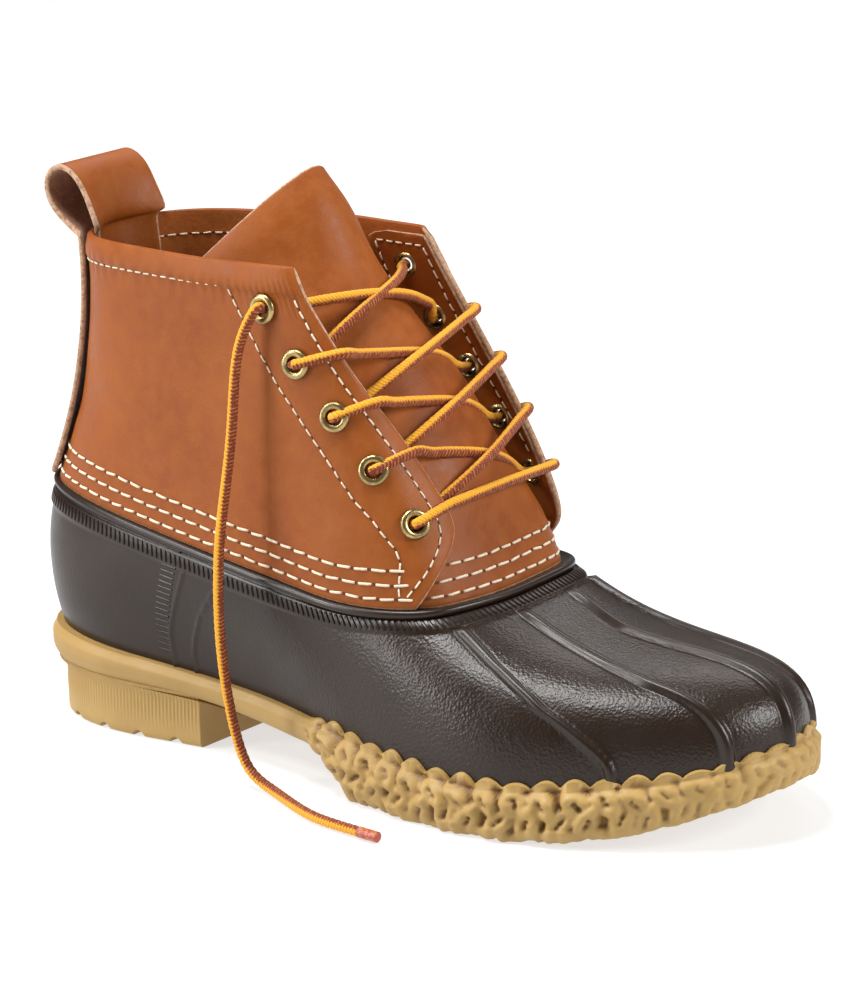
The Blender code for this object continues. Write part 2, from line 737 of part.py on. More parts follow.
def quarter_grid(distance):
    """Points of the quarters at a distance from the shaft's outer face, rows up and columns round."""
    table = np.array(FRONT_EDGE)
    round_back = ring_stations(RING_COUNT)
    far_back = round_back[round_back > STATIONS - QUARTER_WRAP][::-1]
    near_back = round_back[round_back < QUARTER_WRAP][::-1]
    rows = []
    for share in QUARTER_SHARES:
        near = np.interp(share, table[:, 0], table[:, 1])
        far = np.interp(share, table[:, 0], table[:, 2])
        steps = np.array([0.0, 0.10, 0.22, 0.35, 0.50, 0.66, 0.83])
        near_side = near - steps * (near - QUARTER_WRAP)
        far_side = (far + steps * (STATIONS - QUARTER_WRAP - far))[::-1]
        at = np.concatenate([near_side, near_back, far_back, far_side])
        rows.append(off_shaft(at, np.full(len(at), share), distance(at, share)))
    return np.array(rows)


def build_quarters():
    """The two quarters and their back seam as one leather wall, open at the throat and the collar."""

    def outer(at, share):
        fold = COLLAR_STEP if share > COLLAR_FOLD else 0.0
        return OVERLAP_OUT * layer(at) + splay(at, share) + fold

    def inner(at, share):
        return OVERLAP_OUT * layer(at) + splay(at, share) - LEATHER

    made = sheet_object("quarters", quarter_grid(outer), quarter_grid(inner), HIDE)
    hole = EYELET_BARREL / 2 + GAP
    for share, near, far in EYELETS:
        for name, at in (("outer", near), ("inner", far)):
            centre, normal = eyelet_place(at, share)
            bore = turned_ring(f"eyelet_hole_helper_{name}_{share}", centre, normal, (
                (0.0, -HOLE_REACH), (hole, -HOLE_REACH), (hole, HOLE_REACH), (0.0, HOLE_REACH)))
            boolean(made, bore, "DIFFERENCE")
    return made


def quarter_face(at, share):
    """The quarters' outer face, without the collar's step."""
    return off_shaft(at, share, OVERLAP_OUT * layer(at) + splay(at, share))


def eyelet_place(at, share):
    """Centre of an eyelet on the quarter's outer face, and the way it faces."""
    at, share = np.asarray(float(at)), np.asarray(float(share))
    return quarter_face(at, share), outward(quarter_face, at, share)


def turned_ring(name, centre, normal, profile):
    """A turned piece about an axis: profile holds radius and height, and closes on itself."""
    side = unit(np.cross(normal, [0.0, 0.0, 1.0]))
    up = np.cross(normal, side)
    on_axis = profile[0][0] == 0.0
    points, faces = [], []
    rings = [p for p in profile if p[0] > 0.0]
    for radius, height in rings:
        for i in range(EYELET_SIDES):
            turn = 2 * math.pi * i / EYELET_SIDES
            points.append(centre + normal * height + radius * (math.cos(turn) * side + math.sin(turn) * up))
    faces = loops_to_faces(len(rings), EYELET_SIDES, not on_axis, True)
    if on_axis:
        faces.append(tuple(range(EYELET_SIDES)))
        last = (len(rings) - 1) * EYELET_SIDES
        faces.append(tuple(range(last + EYELET_SIDES - 1, last - 1, -1)))
    return mesh_object(name, points, faces, BRASS)


def build_eyelets():
    """Ten rolled brass eyelets, a flange outside and a clinched one inside."""
    bore, barrel, flange = EYELET_BORE / 2, EYELET_BARREL / 2, EYELET_FLANGE / 2
    front, back = 2 * GAP, -LEATHER - 2 * GAP
    for number, (share, near, far) in enumerate(EYELETS, 1):
        for side, at in (("outer", near), ("inner", far)):
            centre, normal = eyelet_place(at, share)
            turned_ring(f"eyelet_{side}_{number}", centre, normal, (
                (barrel, front), (flange, front), (flange - EYELET_METAL, front + EYELET_METAL),
                (bore, front + EYELET_METAL), (bore, back - EYELET_METAL),
                (flange * 0.8, back - EYELET_METAL / 2), (barrel, back)))


def tongue_surface(row, across):
    """A point of the tongue's outer face: row counts up its table, across runs from -1 to 1."""
    along, height, half_width, curl, drop = np.moveaxis(open_spline(TONGUE, row), -1, 0)
    middle = placed(along, half_width * across, (height - drop * across**2) * COLLAR_HEIGHT)
    middle[..., 0] -= curl * BALL_WIDTH * across**2
    return middle


def tongue_face(row, across):
    """Points of the tongue's outer face and its normals, facing forwards."""
    step = 0.02
    row, across = np.broadcast_arrays(np.asarray(row, float), np.asarray(across, float))
    up = tongue_surface(row + step, across) - tongue_surface(row - step, across)
    side = tongue_surface(row, across + step) - tongue_surface(row, across - step)
    return tongue_surface(row, across), unit(np.cross(side, up))


def build_tongue():
    """Vamp and tongue as one hide: the vamp follows the shaft outside the flange, the tongue curls."""
    across = np.sin(np.linspace(-1.0, 1.0, 21) * math.pi / 2)
    face = np.full(len(across), OVERLAP_OUT - LEATHER - LAYER_GAP)
    outer, inner = [], []
    for share, near, far in VAMP:
        at = (near + far) / 2 + across * (far - near) / 2
        outer.append(off_shaft(at, share, face))
        inner.append(off_shaft(at, share, face - VAMP_LEATHER))
    for row in np.linspace(0, len(TONGUE) - 1, 8):
        point, normal = tongue_face(row, across)
        outer.append(point)
        inner.append(point - normal * VAMP_LEATHER)
    return sheet_object("tongue_vamp", np.array(outer), np.array(inner), HIDE_TONGUE)


def build_insole():
    """A flat felt insole on the cup's floor, following its fall and spring."""
    at = paired_stations(44)
    ring = sole_edge(at, SHELL_INSET + SHELL_WALL + 3 * GAP)
    low = with_height(ring, cup_floor(ring[:, 0]) + GAP)
    high = low + np.array([0.0, 0.0, INSOLE])
    faces = loops_to_faces(2, len(at), False, True) + ladder(len(at), 0) + ladder(len(at), len(at))
    return mesh_object("insole", np.concatenate([low, high]), faces, LINING)


def build_pull_loop():
    """One strap: up the back seam from the bead, over the collar in a loop, and sewn in behind it."""
    across = np.linspace(-1.0, 1.0, 7)
    half = LOOP_HALF_WIDTH
    outer, inner = [], []
    for share in (0.03, 0.12, 0.25, 0.40, 0.55, 0.70, 0.82, 0.92):
        at = width_stations(share, across * half)
        outer.append(off_shaft(at, share, np.full(7, COLLAR_STEP + GAP + STRAP)))
        inner.append(off_shaft(at, share, np.full(7, COLLAR_STEP + GAP)))
    edge = width_stations(1.0, across * half)
    collar = off_shaft(edge, 1.0, np.zeros(7))
    outer.append(off_shaft(edge, 1.0, np.full(7, COLLAR_STEP + 2 * GAP + STRAP)))
    inner.append(off_shaft(edge, 1.0, np.full(7, COLLAR_STEP + 2 * GAP)))
    back = shaft(0.0, 1.0)
    path = np.array([(back[0] + f * LENGTH, back[2] + u * LENGTH) for f, u in LOOP])
    tangent = unit(np.gradient(path, axis=0))
    for i, (x, z) in enumerate(path):
        flatten = math.sin(math.pi * (i + 0.5) / len(path)) ** 0.7
        lane = np.stack([x + (collar[:, 0] - back[0]) * (1 - flatten), collar[:, 1], np.full(7, z)], -1)
        push = np.array([-tangent[i, 1], 0.0, tangent[i, 0]]) * STRAP / 2
        outer.append(lane + push)
        inner.append(lane - push)
    for share in (1.0, 0.90, 0.77):
        at = width_stations(share, across * half)
        outer.append(off_shaft(at, share, np.full(7, -LEATHER - GAP - STRAP)))
        inner.append(off_shaft(at, share, np.full(7, -LEATHER - GAP)))
    return sheet_object("pull_loop", np.array(outer), np.array(inner), HIDE_STRAP)


def width_stations(share, sideways):
    """Stations of the shaft's back that lie the given distances to either side of its middle."""
    fine = np.linspace(-2.0, 2.0, 81)
    line = shaft(fine % STATIONS, np.full(81, share))
    order = np.argsort(line[:, 1])
    return np.interp(sideways, line[order, 1], fine[order]) % STATIONS


def strand(name, start_row, end_row, over=0.0):
    """A tube of lace over the tongue, from its near edge at one row to its far edge at another."""
    steps = np.linspace(-LACE_REACH, LACE_REACH, LACE_STEPS)
    rows = np.linspace(start_row, end_row, LACE_STEPS)
    face, normal = tongue_face(rows, steps)
    centre = face + normal * (LACE / 2 + 2 * GAP + over)
    return tube_mesh(name, centre, LACE / 2)


def tube_mesh(name, centre, radius):
    tangent = unit(np.gradient(centre, axis=0))
    side = unit(np.cross(tangent, [0.0, 0.0, 1.0]))
    up = np.cross(side, tangent)
    turns = np.arange(LACE_SIDES) * 2 * math.pi / LACE_SIDES
    ring = np.cos(turns)[None, :, None] * side[:, None] + np.sin(turns)[None, :, None] * up[:, None]
    grid = centre[:, None] + radius * ring
    count = len(centre)
    faces = loops_to_faces(count, LACE_SIDES, False, True)
    faces.append(tuple(range(LACE_SIDES)))
    faces.append(tuple(range(count * LACE_SIDES - 1, (count - 1) * LACE_SIDES - 1, -1)))
    return mesh_object(name, grid.reshape(-1, 3), faces, CORD)


def build_laces():
    """Four crossings and the bottom bar over the tongue."""
    for i in range(len(LACE_ROWS) - 1):
        high, low = LACE_ROWS[i], LACE_ROWS[i + 1]
        top, bottom = high - LACE_SPREAD, low + LACE_SPREAD
        crossing = strand(f"lace_cross_{i + 1}", top, bottom)
        boolean(crossing, strand(f"lace_helper_{i + 1}", bottom, top, LACE_OVER), "UNION")
    strand("lace_bar", LACE_ROWS[-1] - LACE_SPREAD, LACE_ROWS[-1] - LACE_SPREAD)


def build_lace_end():
    """The free end: down from the top outer eyelet and forwards along the floor."""
    share, near, far = EYELETS[0]
    centre, normal = eyelet_place(near, share)
    path = [centre + normal * reach for reach in LACE_EXIT] + list(LACE_END)
    line = open_spline(path, np.linspace(0, len(path) - 1, LACE_END_STEPS))
    curve = bpy.data.curves.new("lace_end", "CURVE")
    curve.dimensions = "3D"
    curve.bevel_depth = LACE / 2
    curve.bevel_resolution = 2
    curve.use_fill_caps = True
    tube = curve.splines.new("POLY")
    tube.points.add(len(line) - 1)
    for point, place in zip(tube.points, line):
        point.co = (*place, 1.0)
    made = bpy.data.objects.new("lace_end", curve)
    curve.materials.append(material(CORD))
    bpy.context.scene.collection.objects.link(made)
    return made


clear_scene()
build_shell()
build_outsole()
build_quarters()
build_tongue()
build_insole()
build_pull_loop()
build_eyelets()
build_laces()
build_lace_end()
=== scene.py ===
"""Looks of the right-foot duck boot: leather shaft, moulded rubber bottom, gum chain-tread sole and lace."""

import math

import bmesh
import bpy
import numpy as np
from bpy.props import FloatProperty, FloatVectorProperty, PointerProperty
from mathutils import Matrix


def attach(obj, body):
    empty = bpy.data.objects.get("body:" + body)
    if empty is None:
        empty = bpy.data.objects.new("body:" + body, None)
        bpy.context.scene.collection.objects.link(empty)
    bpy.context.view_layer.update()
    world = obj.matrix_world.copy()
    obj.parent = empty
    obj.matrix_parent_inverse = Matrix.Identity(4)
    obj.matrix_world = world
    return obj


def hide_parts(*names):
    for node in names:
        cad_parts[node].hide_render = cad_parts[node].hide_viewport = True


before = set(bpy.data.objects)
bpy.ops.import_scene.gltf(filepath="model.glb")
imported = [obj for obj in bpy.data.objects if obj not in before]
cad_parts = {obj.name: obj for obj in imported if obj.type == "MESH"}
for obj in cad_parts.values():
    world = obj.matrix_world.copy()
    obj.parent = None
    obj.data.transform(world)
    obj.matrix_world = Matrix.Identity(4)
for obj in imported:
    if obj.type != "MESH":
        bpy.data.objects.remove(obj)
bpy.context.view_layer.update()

bl_info = {
    "name": "Duck boot looks",
    "version": (1, 0, 0),
    "blender": (4, 5, 0),
    "location": "View3D > Sidebar > Duck boot",
    "description": "Leather, rubber, gum sole, stitching and lace of a duck boot round its CAD frame",
    "category": "Object",
}

# Overall form of the last, as in the frame
LENGTH = 0.300
HEEL_REACH = 0.045
BALL_WIDTH = 0.119
RIM_HEIGHT = 0.084
COLLAR_HEIGHT = 0.177
SWING = 0.039
GAP = 0.0003

# Rubber sole
HEEL_HEIGHT = 0.0165
ARCH_HEIGHT = 0.0140
TREAD_START = 0.086
TREAD_FULL = 0.112
SPRING_START = 0.171
TOE_SPRING = 0.018
HEEL_FLOOR = 0.0200
BALL_FLOOR = 0.0080
FLOOR_FALL_START = 0.050
FLOOR_FALL_END = 0.150
CUP_WALL = 0.0022
CUP_TOP_INSET = 0.0015
HEEL_INSET = 0.0050
HEEL_BREAST = 0.034
LUG_PITCH = 0.0155
LUG_GROOVE = 0.0026
LUG_COUNT = 4

# Rubber shell
SHELL_WALL = 0.0030
SHELL_GAP = 0.0005
SHELL_INSET = CUP_TOP_INSET + CUP_WALL + SHELL_GAP
BAND_DROP = 0.0090
BAND_TOP = 0.0032
BAND_OUT = 0.0005
BEAD_RADIUS = 0.0016
RIB_HALF = 0.0024
RIB_OUT = 0.0021
SEAM_HALF = 0.0007

# Leather
LEATHER = 0.0022
VAMP_LEATHER = 0.0020
OVERLAP_OUT = 0.0012
LAYER_GAP = 0.0007
COLLAR_STEP = 0.0010
STRAP = 0.0020
LOOP_HALF_WIDTH = 0.018

# Eyelets
EYELET_FLANGE = 0.0103
EYELET_BORE = 0.0050
EYELET_BARREL = 0.0066

# The photograph's camera: turn, height and roll in degrees, the rest in metres but for the lens in mm
CAMERA_TURN = 35.85
CAMERA_RISE = 15.14
CAMERA_ROLL = -0.44
CAMERA_DISTANCE = 1.6210
CAMERA_TARGET = (0.11249, 0.0, 0.09384)
CAMERA_LENS = 174.9
FILM_SIDE = 36.0

# Round the sole's edge from the heel's back along the outer side to the toe and home along the inner
# side: along in lengths, across in ball widths, foxing top in rim heights.
SOLE_EDGE = (
    # along, across, foxing
    (0.000, 0.000, 0.393),
    (0.035, -0.200, 0.390),
    (0.120, -0.295, 0.370),
    (0.220, -0.300, 0.338),
    (0.360, -0.310, 0.286),
    (0.500, -0.420, 0.244),
    (0.630, -0.495, 0.202),
    (0.760, -0.475, 0.214),
    (0.900, -0.330, 0.280),
    (0.970, -0.160, 0.345),
    (0.992, 0.050, 0.375),
    (0.955, 0.250, 0.345),
    (0.865, 0.410, 0.262),
    (0.720, 0.480, 0.208),
    (0.580, 0.400, 0.214),
    (0.420, 0.260, 0.256),
    (0.270, 0.260, 0.315),
    (0.140, 0.290, 0.362),
    (0.040, 0.200, 0.388),
)

# The rubber's rim at the same stations, and how its wall rises, swells and reaches the rim
RIM = (
    # along, across, height, rise, reach, drop, bulge
    (0.012, 0.000, 1.000, 0.20, 0.00, 0.20, 0.065),
    (0.033, -0.150, 0.990, 0.20, 0.00, 0.20, 0.062),
    (0.110, -0.256, 0.960, 0.20, 0.00, 0.20, 0.050),
    (0.210, -0.308, 0.912, 0.19, 0.00, 0.18, 0.032),
    (0.343, -0.355, 0.851, 0.18, 0.00, 0.17, 0.018),
    (0.450, -0.378, 0.800, 0.20, 0.25, 0.18, 0.010),
    (0.527, -0.377, 0.783, 0.29, 0.42, 0.16, 0.010),
    (0.587, -0.329, 0.790, 0.36, 0.45, 0.21, 0.000),
    (0.613, -0.239, 0.798, 0.40, 0.46, 0.255, 0.000),
    (0.628, -0.097, 0.803, 0.43, 0.47, 0.275, 0.000),
    (0.633, 0.053, 0.810, 0.43, 0.47, 0.285, 0.000),
    (0.632, 0.204, 0.814, 0.38, 0.46, 0.290, 0.000),
    (0.615, 0.300, 0.806, 0.32, 0.45, 0.270, 0.000),
    (0.570, 0.354, 0.798, 0.34, 0.44, 0.180, 0.006),
    (0.483, 0.354, 0.798, 0.26, 0.35, 0.180, 0.010),
    (0.383, 0.330, 0.833, 0.19, 0.10, 0.170, 0.010),
    (0.257, 0.309, 0.893, 0.19, 0.00, 0.180, 0.028),
    (0.130, 0.270, 0.955, 0.20, 0.00, 0.200, 0.048),
    (0.033, 0.155, 0.988, 0.20, 0.00, 0.200, 0.062),
)

# The collar at the same stations, with the lean of the shaft's lower and upper waist
COLLAR = (
    # along, across, height, lean, settle
    (0.060, 0.000, 0.969, 0.038, 0.018),
    (0.077, -0.127, 0.972, 0.033, 0.016),
    (0.130, -0.242, 0.980, 0.018, 0.008),
    (0.227, -0.310, 0.986, 0.000, 0.000),
    (0.307, -0.339, 0.989, 0.000, 0.006),
    (0.363, -0.349, 0.994, -0.010, 0.020),
    (0.403, -0.349, 0.997, -0.020, 0.033),
    (0.430, -0.334, 0.997, -0.027, 0.045),
    (0.447, -0.265, 0.997, -0.030, 0.050),
    (0.453, -0.130, 1.000, -0.030, 0.050),
    (0.455, 0.012, 1.000, -0.030, 0.050),
    (0.450, 0.155, 1.000, -0.030, 0.050),
    (0.437, 0.249, 1.000, -0.030, 0.050),
    (0.423, 0.288, 1.000, -0.024, 0.043),
    (0.373, 0.297, 1.000, -0.014, 0.026),
    (0.307, 0.300, 1.000, -0.002, 0.010),
    (0.217, 0.292, 0.992, 0.000, 0.000),
    (0.137, 0.245, 0.986, 0.018, 0.008),
    (0.080, 0.133, 0.977, 0.033, 0.016),
)
STATIONS = len(SOLE_EDGE)
OVERLAP_FROM = (4.6, 5.5)
OVERLAP_TO = (14.5, 15.4)
SPLAY_FROM = (5.2, 7.2)
SPLAY = 0.0055

# The quarters' front edges: share of the shaft's height, station on the outer and the inner side
FRONT_EDGE = (
    # share, outer side, inner side
    (0.00, 6.75, 13.25),
    (0.09, 7.35, 12.60),
    (0.15, 7.90, 12.05),
    (0.21, 8.35, 11.80),
    (0.27, 8.50, 11.75),
    (0.39, 8.35, 11.90),
    (0.50, 8.15, 12.05),
    (0.60, 7.87, 12.15),
    (0.70, 7.53, 12.25),
    (0.81, 7.20, 12.40),
    (0.94, 6.80, 12.55),
    (1.00, 6.75, 12.60),
)

# Eyelets from the top down
EYELETS = (
    # share, outer side, inner side
    (0.88, 5.36, 13.72),
    (0.735, 5.93, 13.47),
    (0.595, 6.53, 13.18),
    (0.445, 6.99, 12.95),
    (0.28, 7.48, 12.62),
)

# The tongue above the vamp
TONGUE = (
    # along, height, half_width, curl, drop
    (0.583, 0.600, 0.200, 0.060, 0.000),
    (0.545, 0.700, 0.215, 0.085, 0.000),
    (0.500, 0.800, 0.230, 0.110, 0.005),
    (0.455, 0.900, 0.245, 0.150, 0.025),
    (0.412, 1.010, 0.255, 0.200, 0.075),
    (0.385, 1.085, 0.260, 0.230, 0.130),
    (0.362, 1.138, 0.255, 0.240, 0.175),
)

# The vamp below it: share of the shaft's height, and the stations of its two sides
VAMP = (
    # share, outer side, inner side
    (0.015, 5.70, 14.30),
    (0.070, 5.80, 14.20),
    (0.130, 6.50, 13.50),
    (0.175, 7.30, 12.70),
    (0.220, 7.90, 12.10),
)

# The pull loop above the collar: forwards of the collar's back and up from it, in lengths
LOOP = (
    # forward, up
    (-0.020, 0.010),
    (-0.032, 0.026),
    (-0.037, 0.044),
    (-0.033, 0.062),
    (-0.019, 0.074),
    (-0.003, 0.073),
    (0.010, 0.060),
    (0.018, 0.038),
    (0.021, 0.014),
)

# The free lace below the top outer eyelet, down to its tip on the floor
LACE_END = (
    (0.0690, -0.0470, 0.1520),
    (0.0675, -0.0490, 0.1380),
    (0.0660, -0.0500, 0.1160),
    (0.0640, -0.0530, 0.0900),
    (0.0635, -0.0545, 0.0700),
    (0.0640, -0.0545, 0.0500),
    (0.0660, -0.0535, 0.0300),
    (0.0700, -0.0530, 0.0140),
    (0.0760, -0.0535, 0.0055),
    (0.0860, -0.0560, 0.0024),
    (0.0990, -0.0630, 0.0023),
    (0.1130, -0.0695, 0.0023),
    (0.1270, -0.0725, 0.0023),
    (0.1430, -0.0745, 0.0023),
)
LACE_EXIT = (0.0003, 0.0046)

# The four ribs over the toe: share of the wall's height, and each rib's station there
RIBS = (
    # share, first, second, third, fourth
    (0.00, 7.57, 8.66, 9.67, 10.72),
    (0.09, 7.56, 8.66, 9.68, 10.74),
    (0.21, 7.42, 8.60, 9.76, 10.84),
    (0.39, 7.26, 8.48, 9.84, 11.02),
    (0.55, 7.25, 8.56, 9.87, 11.20),
    (0.73, 7.29, 8.73, 9.94, 11.42),
    (0.92, 7.40, 8.93, 10.36, 11.74),
    (1.00, 7.44, 8.98, 10.46, 11.84),
)

# The two moulded lines on each side of the rubber: the rear one carries the ticks
SEAMS = (
    # share, rear, front
    (0.00, 3.08, 3.30),
    (0.20, 3.08, 3.30),
    (0.38, 3.10, 3.36),
    (0.60, 3.20, 3.47),
    (0.80, 3.30, 3.62),
    (1.00, 3.40, 3.78),
)

# The facing's two stitch lines, as stations behind the front edge
FACING_LINES = (
    # share, front, back
    (0.02, 0.34, 0.34),
    (0.06, 0.36, 0.52),
    (0.17, 0.40, 1.22),
    (0.25, 0.36, 1.77),
    (0.36, 0.40, 2.09),
    (0.52, 0.48, 2.26),
    (0.67, 0.50, 2.36),
    (0.81, 0.46, 2.40),
    (0.955, 0.40, 2.42),
)

# Soft folds in the leather shaft: station, share, half length and half width in metres, turn in degrees
# from the level and depth, a trough if positive.
FOLDS = (
    # station, share, length, width, turn, depth
    (1.6, 0.40, 0.030, 0.0075, 12, 0.0007),
    (1.9, 0.55, 0.024, 0.0060, 20, 0.0005),
    (3.0, 0.34, 0.034, 0.0085, -8, 0.0006),
    (3.9, 0.62, 0.026, 0.0090, 70, 0.0006),
    (4.6, 0.30, 0.030, 0.0080, 62, 0.0006),
    (5.7, 0.20, 0.022, 0.0060, 40, -0.0005),
    (17.2, 0.42, 0.030, 0.0075, 10, 0.0007),
    (16.3, 0.30, 0.032, 0.0085, -14, 0.0006),
    (15.0, 0.45, 0.028, 0.0080, 68, 0.0006),
    (13.9, 0.22, 0.024, 0.0070, 40, -0.0005),
)

# Stitch rows above the bead, and their lines along the facing: distances in metres
BOTTOM_ROWS = (0.0045, 0.0092, 0.0139)
COLLAR_ROW = 0.0081
FACING_LAYER = 0.0009


class BootSizes(bpy.types.PropertyGroup):
    """Sizes of the boot's fine detail"""

    lace: FloatProperty(name="Lace", description="Diameter of the lace", default=0.0035, unit="LENGTH")
    stitch: FloatProperty(name="Stitch", description="Length of one stitch", default=0.0039, unit="LENGTH")
    stitch_gap: FloatProperty(name="Stitch gap", description="Gap between stitches", default=0.0013,
                              unit="LENGTH")
    thread: FloatProperty(name="Thread", description="Diameter of the thread", default=0.00085, unit="LENGTH")
    knurl: FloatProperty(name="Knurl", description="Pitch of the ticks under the bead", default=0.0022,
                         unit="LENGTH")
    link: FloatProperty(name="Link", description="Pitch of the chain tread's links", default=0.0102,
                        unit="LENGTH")
    cord: FloatProperty(name="Chain cord", description="Half thickness of a link's cord", default=0.0028,
                        unit="LENGTH")
    heel_rib: FloatProperty(name="Heel rib", description="Pitch of the heel's ribbing", default=0.0015,
                            unit="LENGTH")
    pebble: FloatProperty(name="Pebble", description="Size of the rubber's grain", default=0.0010,
                          unit="LENGTH")


class BootColours(bpy.types.PropertyGroup):
    """Colours of the boot"""

    leather: FloatVectorProperty(name="Leather", description="Grain side of the leather",
                                 subtype="COLOR", default=(0.265, 0.069, 0.0110))
    leather_deep: FloatVectorProperty(name="Deep leather", description="Darker leather in folds",
                                      subtype="COLOR", default=(0.200, 0.044, 0.0078))
    suede: FloatVectorProperty(name="Suede", description="Flesh side and raw edges",
                               subtype="COLOR", default=(0.27, 0.105, 0.040))
    rubber: FloatVectorProperty(name="Rubber", description="Moulded brown rubber",
                                subtype="COLOR", default=(0.0140, 0.0063, 0.0027))
    gum: FloatVectorProperty(name="Gum", description="Gum rubber sole",
                             subtype="COLOR", default=(0.390, 0.243, 0.070))
    # Painted shade: the gum colour laid into the tread's creases and over the sole's rear.
    gum_painted_shade: FloatVectorProperty(name="Deep gum", description="Gum in its hollows",
                                  subtype="COLOR", default=(0.165, 0.074, 0.015))
    thread: FloatVectorProperty(name="Thread", description="Cream stitching",
                                subtype="COLOR", default=(0.80, 0.68, 0.50))
    lace_gold: FloatVectorProperty(name="Lace gold", description="The lace's light half",
                                   subtype="COLOR", default=(0.72, 0.34, 0.012))
    lace_rust: FloatVectorProperty(name="Lace rust", description="The lace's dark half",
                                   subtype="COLOR", default=(0.20, 0.034, 0.008))
    brass: FloatVectorProperty(name="Brass", description="Aged brass of the eyelets",
                               subtype="COLOR", default=(0.46, 0.34, 0.15))


def sizes():
    return bpy.context.scene.duck_boot_sizes


def colours():
    return bpy.context.scene.duck_boot_colours


# Form of the last

def closed_spline(rows, at):
    """The closed cubic curve through all rows, read at stations counted from the first row."""
    rows = np.asarray(rows, float)
    count = len(rows)
    ties = 4 * np.eye(count) + np.roll(np.eye(count), 1, 0) + np.roll(np.eye(count), -1, 0)
    bend = np.linalg.solve(ties, 6 * (np.roll(rows, -1, 0) - 2 * rows + np.roll(rows, 1, 0)))
    at = np.asarray(at, float)
    first = np.floor(at).astype(int)
    part = (at - first)[..., None]
    a, b = first % count, (first + 1) % count
    rest = 1 - part
    bends = ((rest**3 - rest) * bend[a] + (part**3 - part) * bend[b]) / 6
    return rest * rows[a] + part * rows[b] + bends


def open_spline(rows, at):
    """The cubic curve through all rows with free ends, read at row numbers."""
    rows = np.asarray(rows, float)
    count = len(rows)
    ties = np.eye(count)
    pull = np.zeros_like(rows)
    for i in range(1, count - 1):
        ties[i, i - 1 : i + 2] = 1, 4, 1
        pull[i] = 6 * (rows[i + 1] - 2 * rows[i] + rows[i - 1])
    bend = np.linalg.solve(ties, pull)
    at = np.asarray(at, float)
    first = np.clip(np.floor(at).astype(int), 0, count - 2)
    part = (at - first)[..., None]
    rest = 1 - part
    bends = ((rest**3 - rest) * bend[first] + (part**3 - part) * bend[first + 1]) / 6
    return rest * rows[first] + part * rows[first + 1] + bends


def smooth_step(x, low, high):
    t = np.clip((x - low) / (high - low), 0.0, 1.0)
    return t * t * (3 - 2 * t)


def placed(along, across, height):
    """A point of the last from its shares: the forefoot swings to the inner side."""
    along, across, height = np.broadcast_arrays(along, across, height)
    x = along * LENGTH - HEEL_REACH
    y = across * BALL_WIDTH
    turned = x * math.cos(SWING) - y * math.sin(SWING), x * math.sin(SWING) + y * math.cos(SWING)
    return np.stack([*turned, height], -1)


def unit(v):
    return v / np.maximum(np.linalg.norm(v, axis=-1, keepdims=True), 1e-9)


def sole_edge(at, inset=0.0):
    """The sole's outline at stations, moved inwards by inset, flat on z = 0."""
    step = 0.02
    row = closed_spline(SOLE_EDGE, at)
    point = placed(row[..., 0], row[..., 1], 0.0)
    ahead = closed_spline(SOLE_EDGE, np.asarray(at) + step)
    behind = closed_spline(SOLE_EDGE, np.asarray(at) - step)
    tangent = placed(ahead[..., 0], ahead[..., 1], 0.0) - placed(behind[..., 0], behind[..., 1], 0.0)
    inward = unit(np.stack([-tangent[..., 1], tangent[..., 0], 0 * tangent[..., 0]], -1))
    return point + inward * np.asarray(inset)[..., None]


def foxing_top(at):
    return closed_spline(SOLE_EDGE, at)[..., 2] * RIM_HEIGHT


def spring(x):
    reach = LENGTH - HEEL_REACH - SPRING_START
    return TOE_SPRING * np.clip((x - SPRING_START) / reach, 0.0, 1.1) ** 2


def underside(x):
    """Height of the sole's lower face, without the heel block."""
    heel = HEEL_HEIGHT - ARCH_HEIGHT
    step = ARCH_HEIGHT * (1 - smooth_step(x, TREAD_START, TREAD_FULL))
    return step + heel * (1 - smooth_step(x, HEEL_BREAST, TREAD_START)) + spring(x)


def cup_floor(x):
    fall = smooth_step(x, FLOOR_FALL_START, FLOOR_FALL_END)
    return HEEL_FLOOR + (BALL_FLOOR - HEEL_FLOOR) * fall + spring(x)


def with_height(points, height):
    out = np.array(points)
    out[..., 2] = height
    return out


def bezier(a, b, c, d, t):
    t = t[..., None]
    s = 1 - t
    return s**3 * a + 3 * s * s * t * b + 3 * s * t * t * c + t**3 * d


def wall_ends(at):
    """The control points of the rubber's wall at stations: foxing, rise, reach and rim."""
    row = closed_spline(RIM, at)
    along, across, height, rise, reach, drop, bulge = np.moveaxis(row, -1, 0)
    low = with_height(sole_edge(at, SHELL_INSET), foxing_top(at))
    rim = placed(along, across, height * RIM_HEIGHT)
    out = unit(sole_edge(at, 0.0) - sole_edge(at, 0.01))
    up = np.array([0.0, 0.0, RIM_HEIGHT])
    flat = (low - rim) * np.array([1.0, 1.0, 0.0])
    swell = out * (bulge * RIM_HEIGHT)[..., None]
    second = low + up * rise[..., None] + swell
    third = rim + flat * reach[..., None] - up * drop[..., None] + swell
    return low, second, third, rim


def rubber_wall(at, share):
    """Points of the rubber's outer face: share of its arc length from the foxing (0) to the rim (1)."""
    at, share = np.broadcast_arrays(np.asarray(at, float), np.asarray(share, float))
    flat_at, flat_share = at.ravel(), share.ravel()
    steps = np.linspace(0, 1, 25)
    ends = wall_ends(flat_at)
    line = bezier(*(e[:, None] for e in ends), steps[None, :])
    run = np.zeros((len(flat_at), len(steps)))
    run[:, 1:] = np.cumsum(np.linalg.norm(np.diff(line, axis=1), axis=2), axis=1)
    want = flat_share * run[:, -1]
    after = np.clip((run < want[:, None]).sum(1), 1, len(steps) - 1)
    rows = np.arange(len(flat_at))
    low, high = run[rows, after - 1], run[rows, after]
    t = steps[after - 1] + (want - low) / np.maximum(high - low, 1e-9) * (steps[1] - steps[0])
    return bezier(*ends, t).reshape(at.shape + (3,))


